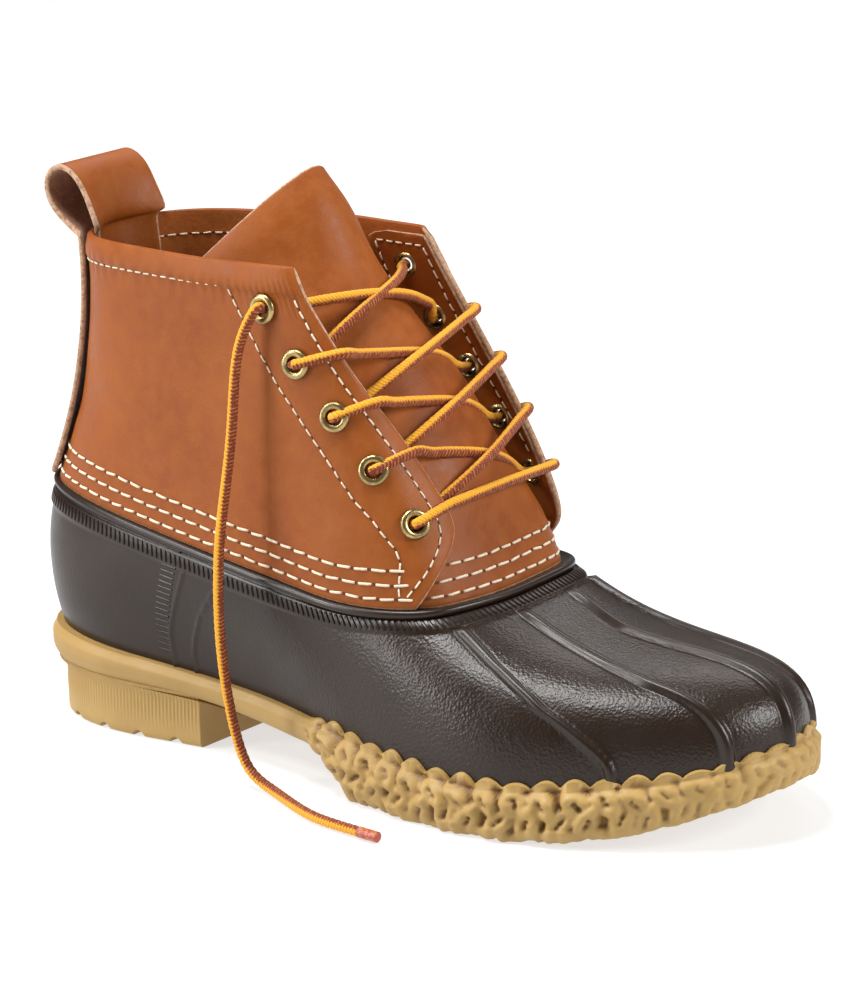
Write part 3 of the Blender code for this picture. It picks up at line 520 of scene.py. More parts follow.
def wall_length(at):
    line = bezier(*(e[:, None] for e in wall_ends(at)), np.linspace(0, 1, 25)[None, :])
    return np.linalg.norm(np.diff(line, axis=1), axis=2).sum(axis=1)


def shaft(at, share):
    """The leather's outer face above the rim: share 0 at the rim and 1 at the collar."""
    at, share = np.broadcast_arrays(np.asarray(at, float), np.asarray(share, float))
    rim_row = closed_spline(RIM, at)
    row = closed_spline(COLLAR, at)
    low = placed(rim_row[..., 0], rim_row[..., 1], rim_row[..., 2] * RIM_HEIGHT)
    top = placed(row[..., 0], row[..., 1], row[..., 2] * COLLAR_HEIGHT)
    climb = (top - low) * np.array([0.0, 0.0, 1.0])
    flat = (top - low) * np.array([0.0, 1.0, 0.0])
    forward = np.array([LENGTH, 0.0, 0.0])
    second = low + 0.28 * climb + 0.28 * flat + forward * row[..., 3:4]
    third = top - 0.36 * climb - 0.36 * flat + forward * row[..., 4:5]
    return bezier(low, second, third, top, share)


def layer(at):
    """1 where the quarter lies over the vamp, 0 round the heel."""
    at = np.asarray(at) % STATIONS
    return smooth_step(at, *OVERLAP_FROM) * (1 - smooth_step(at, *OVERLAP_TO))


def outward(surface, at, share):
    """Unit normals of a surface function, facing out of the shoe."""
    step_at, step_share = 0.03, 0.01
    along = surface(at + step_at, share) - surface(at - step_at, share)
    up = surface(at, np.minimum(share + step_share, 1.2)) - surface(at, share - step_share)
    return unit(np.cross(along, up))


def off_shaft(at, share, distance):
    at, share = np.broadcast_arrays(np.asarray(at, float), np.asarray(share, float))
    return shaft(at, share) + outward(shaft, at, share) * np.asarray(distance)[..., None]


def shaft_speed(at, share):
    """Metres along and up the shaft for one station and one share."""
    step = 0.02
    along = np.linalg.norm(shaft(at + step, share) - shaft(at - step, share), axis=-1) / (2 * step)
    up = np.linalg.norm(shaft(at, share + step) - shaft(at, share - step), axis=-1) / (2 * step)
    return along, up


def splay(at, share):
    """How far the inner quarter's free edge stands off: most at half its height."""
    reach = smooth_step(STATIONS - np.asarray(at), *SPLAY_FROM)
    return SPLAY * reach * (np.asarray(at) > STATIONS / 2) * np.sin(np.pi * np.clip(share, 0, 1)) ** 0.7


def fold_depth(at, share):
    """Depth of the leather's soft folds: each falls off smoothly from its middle line."""
    depth = np.zeros(np.broadcast(at, share).shape)
    along, up = shaft_speed(at, share)
    for station, height, length, width, turn, deep in FOLDS:
        away = ((at - station + STATIONS / 2) % STATIONS - STATIONS / 2) * along
        rise = (share - height) * up
        turn = math.radians(turn)
        u = away * math.cos(turn) + rise * math.sin(turn)
        v = -away * math.sin(turn) + rise * math.cos(turn)
        v = v - 0.12 * width * np.sin(u / length * 3.0)
        depth += deep * np.exp(-((u / length) ** 2) * 1.6 - (v / width) ** 2)
    return depth


def leather_face(at, share):
    """The quarters' outer face, without the collar's step."""
    return off_shaft(at, share, OVERLAP_OUT * layer(at) + splay(at, share) - fold_depth(at, share))


def tongue_surface(row, across):
    """A point of the tongue's outer face: row counts up its table, across runs from -1 to 1."""
    along, height, half_width, curl, drop = np.moveaxis(open_spline(TONGUE, row), -1, 0)
    middle = placed(along, half_width * across, (height - drop * across**2) * COLLAR_HEIGHT)
    middle[..., 0] -= curl * BALL_WIDTH * across**2
    return middle


def tongue_face(row, across):
    """Points of the tongue's outer face and its normals, facing forwards."""
    step = 0.02
    row, across = np.broadcast_arrays(np.asarray(row, float), np.asarray(across, float))
    up = tongue_surface(row + step, across) - tongue_surface(row - step, across)
    side = tongue_surface(row, across + step) - tongue_surface(row, across - step)
    return tongue_surface(row, across), unit(np.cross(side, up))


def edge_run():
    """The sole's edge read finely: stations, points and length so far."""
    fine = np.linspace(0, STATIONS, 40 * STATIONS + 1)
    line = sole_edge(fine)
    run = np.concatenate([[0], np.cumsum(np.linalg.norm(np.diff(line, axis=0), axis=1))])
    return fine, line, run


def unfolded_face(at, share):
    return off_shaft(at, share, OVERLAP_OUT * layer(at) + splay(at, share))


def eyelet_place(at, share):
    """Centre of an eyelet on the quarter's outer face, and the way it faces."""
    at, share = np.asarray(float(at)), np.asarray(float(share))
    return unfolded_face(at, share), outward(unfolded_face, at, share)


# Meshes

def grid_faces(rows, columns, wrap_rows=False, wrap_columns=False):
    faces = []
    for r in range(rows if wrap_rows else rows - 1):
        for c in range(columns if wrap_columns else columns - 1):
            r2, c2 = (r + 1) % rows, (c + 1) % columns
            faces.append((r * columns + c, r * columns + c2, r2 * columns + c2, r2 * columns + c))
    return faces


def ladder(count, start):
    """A cap of quads across a closed ring whose points face each other about its first one."""
    faces = [(start, start + 1, start + count - 1)]
    for i in range(1, count // 2 - 1):
        faces.append((start + i, start + i + 1, start + count - i - 1, start + count - i))
    middle = count // 2
    if count % 2 == 0:
        faces.append((start + middle - 1, start + middle, start + middle + 1))
    else:
        faces.append((start + middle - 1, start + middle, start + middle + 1, start + middle + 2))
    return faces


def piece(name, points, faces, materials, slot, replaces=(), marks=None, slots=None, sharp=40.0):
    """One finished piece: its mesh, materials, named shading values and place in the frame."""
    mesh = bpy.data.meshes.new(name)
    mesh.from_pydata(np.asarray(points).reshape(-1, 3).tolist(), [], faces)
    for key, values in (marks or {}).items():
        mark = mesh.attributes.new(key, "FLOAT", "POINT")
        mark.data.foreach_set("value", np.asarray(values, np.float32).ravel())
    for made in materials:
        mesh.materials.append(made)
    if slots is not None:
        mesh.polygons.foreach_set("material_index", np.asarray(slots, np.int32))
    work = bmesh.new()
    work.from_mesh(mesh)
    bmesh.ops.recalc_face_normals(work, faces=work.faces)
    if work.calc_volume(signed=True) < 0:
        bmesh.ops.reverse_faces(work, faces=work.faces)
    work.to_mesh(mesh)
    work.free()
    mesh.shade_smooth()
    mesh.set_sharp_from_angle(angle=math.radians(sharp))
    made = bpy.data.objects.new(name, mesh)
    bpy.context.scene.collection.objects.link(made)
    if slot:
        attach(made, "root")
        if replaces:
            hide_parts(*replaces)
    return made


def rounded_sheet(outer, inner, steps=3, rolled=False):
    """A closed wall between two grids with a round rim, its last row's rim finished like the outside."""
    rows, columns = outer.shape[:2]
    half = rows * columns
    points = [outer.reshape(-1, 3), inner.reshape(-1, 3)]
    faces = grid_faces(rows, columns)
    sides = [0] * len(faces) + [1] * len(faces)
    faces += [tuple(half + i for i in reversed(f)) for f in faces]
    rim = [(0, c) for c in range(columns)]
    rim += [(r, columns - 1) for r in range(1, rows)]
    rim += [(rows - 1, c) for c in range(columns - 2, -1, -1)]
    rim += [(r, 0) for r in range(rows - 2, 0, -1)]
    rows_at = np.array([r for r, c in rim])
    columns_at = np.array([c for r, c in rim])
    top, low = outer[rows_at, columns_at], inner[rows_at, columns_at]
    inside_r = np.clip(rows_at, 1, rows - 2)
    inside_c = np.clip(columns_at, 1, columns - 2)
    away = unit(top - outer[inside_r, inside_c])
    radius = np.linalg.norm(top - low, axis=1)[:, None] / 2
    rings = [rows_at * columns + columns_at]
    base = 2 * half
    for i in range(1, steps):
        turn = math.pi * i / steps
        middle = (top + low) / 2
        points.append(middle + (top - middle) * math.cos(turn) + away * radius * math.sin(turn) * 0.7)
        rings.append(base + np.arange(len(rim)))
        base += len(rim)
    rings.append(half + rows_at * columns + columns_at)
    for one, two in zip(rings, rings[1:]):
        for i in range(len(rim)):
            j = (i + 1) % len(rim)
            faces.append((int(one[j]), int(one[i]), int(two[i]), int(two[j])))
            sides.append(0 if rows_at[i] == rows - 1 and rows_at[j] == rows - 1 and rolled else 2)
    return np.concatenate(points), faces, sides


BRAID_FACING = np.array([0.45, -0.80, 0.40])


def tube(centre, radius, sides, weave=0.0, roll=0.0):
    """A capped tube along a line: points, faces, and each point's place round and along the braid."""
    centre = np.asarray(centre, float)
    tangent = unit(np.gradient(centre, axis=0))
    across = unit(np.cross(tangent, BRAID_FACING))
    up = np.cross(across, tangent)
    run = np.concatenate([[0], np.cumsum(np.linalg.norm(np.diff(centre, axis=0), axis=1))])
    turns = np.arange(sides) * 2 * math.pi / sides
    size = np.full((len(centre), sides), radius)
    if weave:
        phase = run[:, None] / weave * 2 * math.pi
        bulge = np.maximum(np.cos(3 * turns[None] + phase), np.cos(3 * turns[None] - phase))
        size = size * (1 + 0.055 * (bulge - 0.4))
    ring = np.cos(turns)[None, :, None] * across[:, None] + np.sin(turns)[None, :, None] * up[:, None]
    points = centre[:, None] + size[..., None] * ring
    faces = grid_faces(len(centre), sides, False, True)
    faces.append(tuple(range(sides)))
    faces.append(tuple(range(len(centre) * sides - 1, (len(centre) - 1) * sides - 1, -1)))
    lean = roll + 0.24 * np.sin(run / 0.019 + 3 * roll)
    side = np.cos(turns[None] - lean[:, None])
    marks = {
        "side": side,
        "run": np.broadcast_to(run[:, None], size.shape),
    }
    return points.reshape(-1, 3), faces, marks


def spaced(line, step):
    """A line read again at even steps."""
    line = np.asarray(line, float)
    run = np.concatenate([[0], np.cumsum(np.linalg.norm(np.diff(line, axis=0), axis=1))])
    count = max(int(run[-1] / step), 2)
    want = np.linspace(0, run[-1], count + 1)
    return np.stack([np.interp(want, run, line[:, k]) for k in range(3)], -1)


STITCH_ALONG = np.array([-1.0, -0.94, -0.7, -0.3, 0.3, 0.7, 0.94, 1.0])
STITCH_THICK = np.array([0.45, 0.80, 0.98, 1.0, 1.0, 0.98, 0.80, 0.45])
STITCH_LIFT = np.array([-0.9, -0.35, 0.22, 0.36, 0.36, 0.22, -0.35, -0.9])
STITCH_SIDES = 7
THREAD_LIFT = 0.22
HOLE_LIFT = 0.00006
HOLE_SHARE = 0.62


def stitches(paths, length, gap, thread, seed=0):
    """Capsule stitches set end to end along each (line, normals) path, and between them flat discs of painted
    shade for the needle holes.
    """
    wobble = np.random.default_rng(seed)
    points, faces, hole_points, hole_faces = [], [], [], []
    rings = len(STITCH_ALONG)
    template = grid_faces(rings, STITCH_SIDES, False, True)
    last = rings * STITCH_SIDES - 1
    template += [tuple(range(STITCH_SIDES)), tuple(range(last, last - STITCH_SIDES, -1))]
    turns = np.arange(STITCH_SIDES) * 2 * math.pi / STITCH_SIDES
    cap = [(i, (i + 1) % STITCH_SIDES, STITCH_SIDES) for i in range(STITCH_SIDES)]
    cap.append(tuple(range(STITCH_SIDES - 1, -1, -1)))
    for line, normals in paths:
        run = np.concatenate([[0], np.cumsum(np.linalg.norm(np.diff(line, axis=0), axis=1))])
        count = max(int(round(run[-1] / (length + gap))), 1)
        pitch = run[-1] / count
        for k in range(count):
            ends = np.array([k * pitch + gap / 2, (k + 1) * pitch - gap / 2]) + wobble.normal(0, 0.00012, 2)
            a, b = (np.array([np.interp(e, run, line[:, j]) for j in range(3)]) for e in ends)
            normal = unit(np.array([np.interp(ends.mean(), run, normals[:, j]) for j in range(3)]))
            along = unit(b - a)
            side = np.cross(normal, along)
            turn = wobble.normal(0.03, 0.05)
            lean_cos, lean_sin = math.cos(turn), math.sin(turn)
            along, side = along * lean_cos + side * lean_sin, side * lean_cos - along * lean_sin
            middle, reach = (a + b) / 2, np.linalg.norm(b - a) / 2
            spine = middle + along * (STITCH_ALONG * reach)[:, None]
            spine = spine + normal * (STITCH_LIFT * thread / 2)[:, None]
            ring = np.cos(turns)[:, None] * side * 1.05 + np.sin(turns)[:, None] * normal * 0.85
            mesh = spine[:, None] + (STITCH_THICK * thread / 2)[:, None, None] * ring[None]
            start = len(points) * rings * STITCH_SIDES
            points.append(mesh.reshape(-1, 3))
            faces += [tuple(start + i for i in f) for f in template]
            # Painted shade: a flat disc just over the leather between two stitches stands for the hole's dark.
            hole = middle - along * (reach + gap / 2) - normal * (thread * THREAD_LIFT - HOLE_LIFT)
            flat = hole + np.cos(turns)[:, None] * along * gap * HOLE_SHARE
            flat = flat + np.sin(turns)[:, None] * side * thread * HOLE_SHARE
            start = len(hole_points) * (STITCH_SIDES + 1)
            hole_points.append(np.concatenate([flat, hole[None] + normal * HOLE_LIFT]))
            hole_faces += [tuple(start + i for i in f) for f in cap]
    return np.concatenate(points), faces, np.concatenate(hole_points), hole_faces


# Materials

class Shading:
    """A material under construction, with short calls for its nodes."""

    def __init__(self, name, colour, roughness, metallic=0.0):
        self.made = bpy.data.materials.new(name)
        self.made.use_nodes = True
        self.tree = self.made.node_tree
        self.shader = self.tree.nodes["Principled BSDF"]
        self.shader.inputs["Base Color"].default_value = (*colour, 1.0)
        self.shader.inputs["Roughness"].default_value = roughness
        self.shader.inputs["Metallic"].default_value = metallic
        self.made.diffuse_color = (*colour, 1.0)
        self.place = self.tree.nodes.new("ShaderNodeTexCoord").outputs["Object"]

    def node(self, kind, **inputs):
        made = self.tree.nodes.new(kind)
        for key, value in inputs.items():
            socket = made.inputs[key.replace("_", " ")]
            if isinstance(value, bpy.types.NodeSocket):
                self.tree.links.new(value, socket)
            else:
                socket.default_value = value
        return made

    def noise(self, size, detail=3.0, rough=0.55, distortion=0.0):
        return self.node("ShaderNodeTexNoise", Vector=self.place, Scale=1 / size, Detail=detail,
                         Roughness=rough, Distortion=distortion).outputs["Fac"]

    def cells(self, size, smooth=0.4):
        made = self.tree.nodes.new("ShaderNodeTexVoronoi")
        made.feature = "SMOOTH_F1"
        made.inputs["Scale"].default_value = 1 / size
        made.inputs["Smoothness"].default_value = smooth
        self.tree.links.new(self.place, made.inputs["Vector"])
        return made.outputs["Distance"]

    def math(self, operation, one, two=0.0, clamp=False):
        made = self.tree.nodes.new("ShaderNodeMath")
        made.operation = operation
        made.use_clamp = clamp
        for socket, value in zip(made.inputs, (one, two)):
            if isinstance(value, bpy.types.NodeSocket):
                self.tree.links.new(value, socket)
            else:
                socket.default_value = value
        return made.outputs[0]

    def spread(self, value, low, high, to_low=0.0, to_high=1.0):
        made = self.node("ShaderNodeMapRange", Value=value)
        made.interpolation_type = "SMOOTHSTEP"
        for key, number in (("From Min", low), ("From Max", high), ("To Min", to_low), ("To Max", to_high)):
            made.inputs[key].default_value = number
        return made.outputs["Result"]

    def mark(self, name):
        made = self.tree.nodes.new("ShaderNodeAttribute")
        made.attribute_name = name
        return made.outputs["Fac"]

    def mix(self, factor, one, two, blend="MIX"):
        made = self.tree.nodes.new("ShaderNodeMix")
        made.data_type = "RGBA"
        made.blend_type = blend
        for socket, value in ((made.inputs[0], factor), (made.inputs[6], one), (made.inputs[7], two)):
            if isinstance(value, bpy.types.NodeSocket):
                self.tree.links.new(value, socket)
            elif socket.type == "RGBA":
                socket.default_value = (*value, 1.0)
            else:
                socket.default_value = value
        return made.outputs[2]

    def colour(self, socket):
        self.tree.links.new(socket, self.shader.inputs["Base Color"])

    def roughness(self, socket):
        self.tree.links.new(socket, self.shader.inputs["Roughness"])

    def bump(self, height, distance, strength=1.0):
        made = self.tree.nodes.new("ShaderNodeBump")
        made.inputs["Distance"].default_value = distance
        made.inputs["Strength"].default_value = strength
        self.tree.links.new(height, made.inputs["Height"])
        last = self.shader.inputs["Normal"]
        if last.is_linked:
            self.tree.links.new(last.links[0].from_socket, made.inputs["Normal"])
        self.tree.links.new(made.outputs["Normal"], last)


def leather_finish():
    """Oiled leather: broad pull-up mottling, fine pores and a satin top."""
    tint = colours()
    light, deep = tuple(tint.leather), tuple(tint.leather_deep)
    made = Shading("oiled_leather", light, 0.46)
    cloud = made.spread(made.noise(0.045, 4.0, 0.55, 0.4), 0.30, 0.72)
    fine = made.spread(made.noise(0.006, 5.0, 0.6), 0.32, 0.70)
    tone = made.mix(made.math("MULTIPLY", cloud, 0.75), light, deep)
    pale = (light[0] * 1.25, light[1] * 1.45, light[2] * 1.7)
    tone = made.mix(made.math("MULTIPLY", fine, 0.34), tone, pale)
    specks = made.spread(made.noise(0.0011, 2.0, 0.5), 0.66, 0.74)
    tone = made.mix(made.math("MULTIPLY", specks, 0.28), tone, deep)
    made.colour(tone)
    made.roughness(made.spread(fine, 0.0, 1.0, 0.40, 0.54))
    made.bump(made.cells(0.00075, 0.6), 0.00012, 0.35)
    made.bump(made.noise(0.0045, 3.0, 0.5), 0.0005, 0.30)
    made.shader.inputs["Specular IOR Level"].default_value = 0.18
    return made.made


def suede_finish():
    """The leather's flesh side and raw edges: pale, matt and fibrous."""
    tint = colours()
    made = Shading("suede_leather", tint.suede, 0.88)
    fibre = made.noise(0.0022, 6.0, 0.7, 0.8)
    tone = made.mix(made.spread(fibre, 0.3, 0.7), tuple(c * 0.72 for c in tint.suede),
                    tuple(min(c * 1.35, 1.0) for c in tint.suede))
    made.colour(tone)
    made.bump(made.noise(0.0008, 5.0, 0.7), 0.0004, 0.5)
    made.shader.inputs["Sheen Weight"].default_value = 0.25
    made.shader.inputs["Sheen Roughness"].default_value = 0.5
    return made.made


def edge_finish():
    """Cut edge of the leather: pale layers along its length."""
    tint = colours()
    made = Shading("cut_edge_leather", tint.suede, 0.8)
    fibre = made.noise(0.0012, 4.0, 0.6)
    tone = made.mix(made.spread(fibre, 0.38, 0.70), (0.47, 0.30, 0.19), (0.24, 0.115, 0.055))
    made.colour(tone)
    made.bump(fibre, 0.0003, 0.5)
    return made.made


def rubber_finish():
    """Moulded rubber: a satin skin with a pebble grain that fades on ribs, bead and band."""
    tint = colours()
    pebble = sizes().pebble
    made = Shading("moulded_brown_rubber", tint.rubber, 0.34)
    grain = made.mark("grain")
    cloud = made.noise(0.030, 4.0, 0.6)
    dusty = tuple(c * 1.5 for c in tint.rubber)
    made.colour(made.mix(made.spread(cloud, 0.35, 0.75, 0.0, 0.6), tint.rubber, dusty))
    cells = made.cells(pebble, 0.35)
    fine = made.noise(pebble * 1.7, 3.0, 0.6, 0.5)
    height = made.math("ADD", made.math("MULTIPLY", cells, 0.8), made.math("MULTIPLY", fine, 0.9))
    made.bump(made.math("MULTIPLY", height, grain), 0.00034, 0.42)
    made.roughness(made.spread(made.noise(0.012, 4.0, 0.6), 0.3, 0.7, 0.29, 0.37))
    made.shader.inputs["Specular IOR Level"].default_value = 0.40
    return made.made


def gum_finish():
    """Gum rubber: matt tan, with painted shade in the tread's creases and a little painted shade over the
    sole's rear behind the tread.
    """
    tint = colours()
    made = Shading("gum_rubber", tint.gum, 0.55)
    painted_shade = made.mark("painted_shade")
    cloud = made.noise(0.018, 4.0, 0.6)
    tone = made.mix(made.spread(cloud, 0.35, 0.7, 0.0, 0.35), tint.gum, (0.33, 0.198, 0.055))
    # Painted shade: darker gum where the painted_shade mark is high.
    tone = made.mix(made.spread(painted_shade, 0.0, 1.0, 0.0, 0.80), tone, tint.gum_painted_shade)
    made.colour(tone)
    made.roughness(made.spread(cloud, 0.3, 0.7, 0.48, 0.60))
    made.bump(made.noise(0.0016, 4.0, 0.6), 0.00022, 0.5)
    return made.made


def thread_finish():
    """Waxed cream thread with a fine twist."""
    tint = colours()
    made = Shading("cream_thread", tint.thread, 0.6)
    twist = made.noise(0.0006, 3.0, 0.6, 0.6)
    made.colour(made.mix(made.spread(twist, 0.3, 0.7), tint.thread, tuple(c * 0.72 for c in tint.thread)))
    made.bump(twist, 0.0002, 0.5)
    return made.made


BRAID_PITCH = 0.0026


def lace_finish():
    """Round braid in two tones: one half gold, one half rust, with a stepped border and painted shade in the
    grooves between its rows.
    """
    tint = colours()
    made = Shading("two_tone_braid", tint.lace_gold, 0.66)
    run, side = made.mark("run"), made.mark("side")
    wave = made.math("SINE", made.math("MULTIPLY", run, 2 * math.pi / (BRAID_PITCH / 2)))
    half = made.spread(made.math("ADD", side, made.math("MULTIPLY", wave, 0.20)), -0.05, 0.05)
    slant = made.math("ADD", made.math("MULTIPLY", run, 2 * math.pi / (BRAID_PITCH / 2)),
                      made.math("MULTIPLY", made.math("ABSOLUTE", side), 4.5))
    rows = made.math("SINE", slant)
    flecks = made.math("MULTIPLY", made.spread(rows, 0.62, 0.90),
                       made.spread(made.noise(0.0016, 2.0), 0.42, 0.52))
    rust = made.mix(made.math("MULTIPLY", flecks, 0.75), tint.lace_rust, (0.62, 0.22, 0.03))
    # Painted shade: both halves go darker where the braid's rows dip, in the grooves between them.
    rust = made.mix(made.spread(rows, -1.0, -0.3, 0.45, 0.0), rust, (0.07, 0.012, 0.006))
    gold = made.mix(made.spread(rows, -1.0, -0.2, 0.55, 0.0), tint.lace_gold, (0.45, 0.13, 0.008))
    made.colour(made.mix(half, gold, rust))
    made.bump(rows, 0.00014, 0.55)
    made.shader.inputs["Sheen Weight"].default_value = 0.08
    made.shader.inputs["Specular IOR Level"].default_value = 0.3
    return made.made


def hole_shade_finish():
    """The dark of a needle hole: painted shade on a flat disc over the leather."""
    made = Shading("needle_hole_shade", (0.10, 0.026, 0.008), 0.9)
    made.bump(made.noise(0.0006, 2.0), 0.0002, 0.4)
    return made.made


def lining_painted_light_finish():
    """Inside face of the leather: smooth and more matt than the grain side; its paler tone is painted light on
    an inside that lies in shade.
    """
    tint = colours()
    # Painted light: the leather's colour raised by 1.45 so that the shaded inside reads as lit.
    light = tuple(c * 1.45 for c in tint.leather)
    made = Shading("lining_leather_painted_light", light, 0.6)
    cloud = made.spread(made.noise(0.012, 5.0, 0.6, 0.5), 0.30, 0.72)
    tone = made.mix(cloud, light, tuple(c * 1.05 for c in tint.leather))
    fibre = made.spread(made.noise(0.0016, 5.0, 0.7), 0.40, 0.72)
    made.colour(made.mix(made.math("MULTIPLY", fibre, 0.35), tone, (0.40, 0.17, 0.06)))
    made.bump(made.noise(0.0011, 4.0, 0.7), 0.0003, 0.4)
    made.shader.inputs["Specular IOR Level"].default_value = 0.25
    return made.made


def brass_finish():
    """Aged brass: darker in patches, with fine handling marks."""
    tint = colours()
    made = Shading("aged_brass", tint.brass, 0.30, 1.0)
    patch = made.noise(0.0035, 4.0, 0.6)
    made.colour(made.mix(made.spread(patch, 0.35, 0.68), tint.brass, tuple(c * 0.55 for c in tint.brass)))
    made.roughness(made.spread(patch, 0.3, 0.7, 0.20, 0.40))
    made.bump(made.noise(0.0009, 3.0, 0.6), 0.0001, 0.4)
    return made.made


def felt_finish():
    """Felt insole: short tangled fibres in a warm grey-brown."""
    made = Shading("insole_felt", (0.20, 0.15, 0.10), 0.95)
    fibre = made.noise(0.0014, 6.0, 0.75, 1.0)
    made.colour(made.mix(made.spread(fibre, 0.3, 0.7), (0.15, 0.11, 0.075), (0.27, 0.21, 0.145)))
    made.bump(fibre, 0.0004, 0.6)
    made.shader.inputs["Sheen Weight"].default_value = 0.2
    return made.made


def finish(name, build):
    """The finish of that name, built when first asked for."""
    return bpy.data.materials.get(name) or build()


def leather_set():
    return [finish("oiled_leather", leather_finish), finish("lining_leather_painted_light", lining_painted_light_finish),
            finish("cut_edge_leather", edge_finish)]


def strap_set():
    return [finish("oiled_leather", leather_finish), finish("suede_leather", suede_finish),
            finish("cut_edge_leather", edge_finish)]


# Rubber bottom

WALL_ROWS = 40
FINE_STEP = 0.00072
PLAIN_STEP = 0.0024


def rubber_stations():
    """Stations round the rubber: fine over the toe's ribs and the side seam, plain elsewhere."""
    fine, _, run = edge_run()
    near_toe = smooth_step(fine, 6.2, 6.9) * (1 - smooth_step(fine, 12.2, 12.9))
    near_seam = smooth_step(fine, 2.8, 3.0) * (1 - smooth_step(fine, 3.8, 4.0))
    far_seam = smooth_step(fine, 15.0, 15.2) * (1 - smooth_step(fine, 16.0, 16.2))
    step = PLAIN_STEP + (FINE_STEP - PLAIN_STEP) * np.maximum(near_toe, near_seam + far_seam)
    grown = np.concatenate([[0], np.cumsum(np.diff(run) / step[1:])])
    return np.interp(np.arange(int(grown[-1])) / int(grown[-1]) * grown[-1], grown, fine)


def ridge(distance, half):
    """A round ridge between two shallow grooves: 1 at its middle, a little under 0 beside it."""
    x = np.abs(distance) / half
    top = np.sqrt(np.clip(1 - (x / 0.92) ** 2, 0, 1))
    return top - 0.26 * np.exp(-(((x - 1.14) / 0.24) ** 2))


def line_distance(at, share, line):
    """Signed distance in metres along the wall from one of a table's lines, at one share."""
    pair = rubber_wall(np.array([line - 0.05, line + 0.05]), share)
    return (at - line) * np.linalg.norm(pair[1] - pair[0]) / 0.1


def rib_lift(at, share):
    """Height of the toe ribs and the side lines at points of one row, and how smooth the skin is there."""
    table, seams = np.array(RIBS), np.array(SEAMS)
    lift = np.zeros(len(at))
    smooth = np.zeros(len(at))
    for column in range(1, table.shape[1]):
        away = line_distance(at, share, np.interp(share, table[:, 0], table[:, column]))
        rise = ridge(away, RIB_HALF)
        lift = np.where(np.abs(away) < 2 * RIB_HALF, RIB_OUT * rise, lift)
        smooth = np.maximum(smooth, 1 - smooth_step(np.abs(away), RIB_HALF, RIB_HALF * 1.5))
    for column in (1, 2):
        line = np.interp(share, seams[:, 0], seams[:, column])
        for place in (line, STATIONS - line):
            away = line_distance(at, share, place)
            lift = np.maximum(lift, 0.0006 * np.sqrt(np.clip(1 - (away / SEAM_HALF) ** 2, 0, 1)))
    return lift, smooth


def build_rubber_upper():
    at = rubber_stations()
    length = wall_length(at)
    cover = layer(at)
    rows, grain = [], []

    def add(points, rough):
        rows.append(points)
        grain.append(np.broadcast_to(rough, len(at)))

    forefoot = smooth_step(at, 3.8, 5.5) * (1 - smooth_step(at, 14.5, 16.2))
    base_grain = 0.30 + 0.70 * forefoot
    foot = sole_edge(at, SHELL_INSET)
    add(with_height(foot, cup_floor(foot[:, 0]) + GAP), 0)
    add(with_height(foot, foxing_top(at) - 0.004), 0)
    band_low = 1 - BAND_DROP / length
    for k in range(WALL_ROWS):
        share = k / (WALL_ROWS - 1)
        lift, smooth = rib_lift(at, share)
        fade = smooth_step(1 - share, 0.0, 0.02)
        face_at = share * band_low
        add(rubber_wall(at, face_at) + outward(rubber_wall, at, face_at) * (lift * fade)[:, None],
            base_grain * (1 - smooth))
    for drop, out in ((BAND_DROP - 0.0004, BAND_OUT * 0.8), (BAND_DROP - 0.0008, BAND_OUT),
                      (BAND_TOP + 0.0006, BAND_OUT), (BAND_TOP + 0.0002, BAND_OUT * 0.7),
                      (BAND_TOP - 0.0001, -0.0003), (BAND_TOP - 0.0006, -0.0004)):
        share = 1 - drop / length
        add(rubber_wall(at, share) + outward(rubber_wall, at, share) * out, 0.1)
    rim = shaft(at, 0.0)
    out = outward(shaft, at, np.zeros_like(at))
    up = np.array([0.0, 0.0, 1.0])
    centre = rim + out * (0.0002 + OVERLAP_OUT * cover[:, None]) - up * 0.0006
    for turn in np.radians(np.linspace(-88, 118, 12)):
        add(centre + (out * math.cos(turn) + up * math.sin(turn)) * BEAD_RADIUS, 0.05)
    behind = -(LEATHER + GAP) - cover * (VAMP_LEATHER + LAYER_GAP + 0.001 - GAP - OVERLAP_OUT)
    add(off_shaft(at, 0.012, behind), 0)
    add(off_shaft(at, 0.12, behind), 0)
    add(off_shaft(at, 0.12, behind - 0.002), 0.3)
    add(off_shaft(at, 0.012, behind - 0.002), 0.3)
    for share in (0.84, 0.68, 0.5, 0.33, 0.15, 0.0):
        add(rubber_wall(at, share) - outward(rubber_wall, at, np.full(len(at), share)) * SHELL_WALL, 0.3)
    foot = sole_edge(at, SHELL_INSET + SHELL_WALL)
    add(with_height(foot, cup_floor(foot[:, 0]) + GAP), 0.3)
    grid = np.array(rows)
    faces = grid_faces(grid.shape[0], grid.shape[1], True, True)
    piece("rubber_upper", grid, faces, [finish("moulded_brown_rubber", rubber_finish)], "rubber",
          ("rubber_shell",), {"grain": np.array(grain)}, sharp=60)


TICK_SHARES = np.arange(0.12, 0.95, 0.046)
TICK_REACH = 0.15
TICK_RADIUS = 0.00046
TICK_SUNK = 0.00012


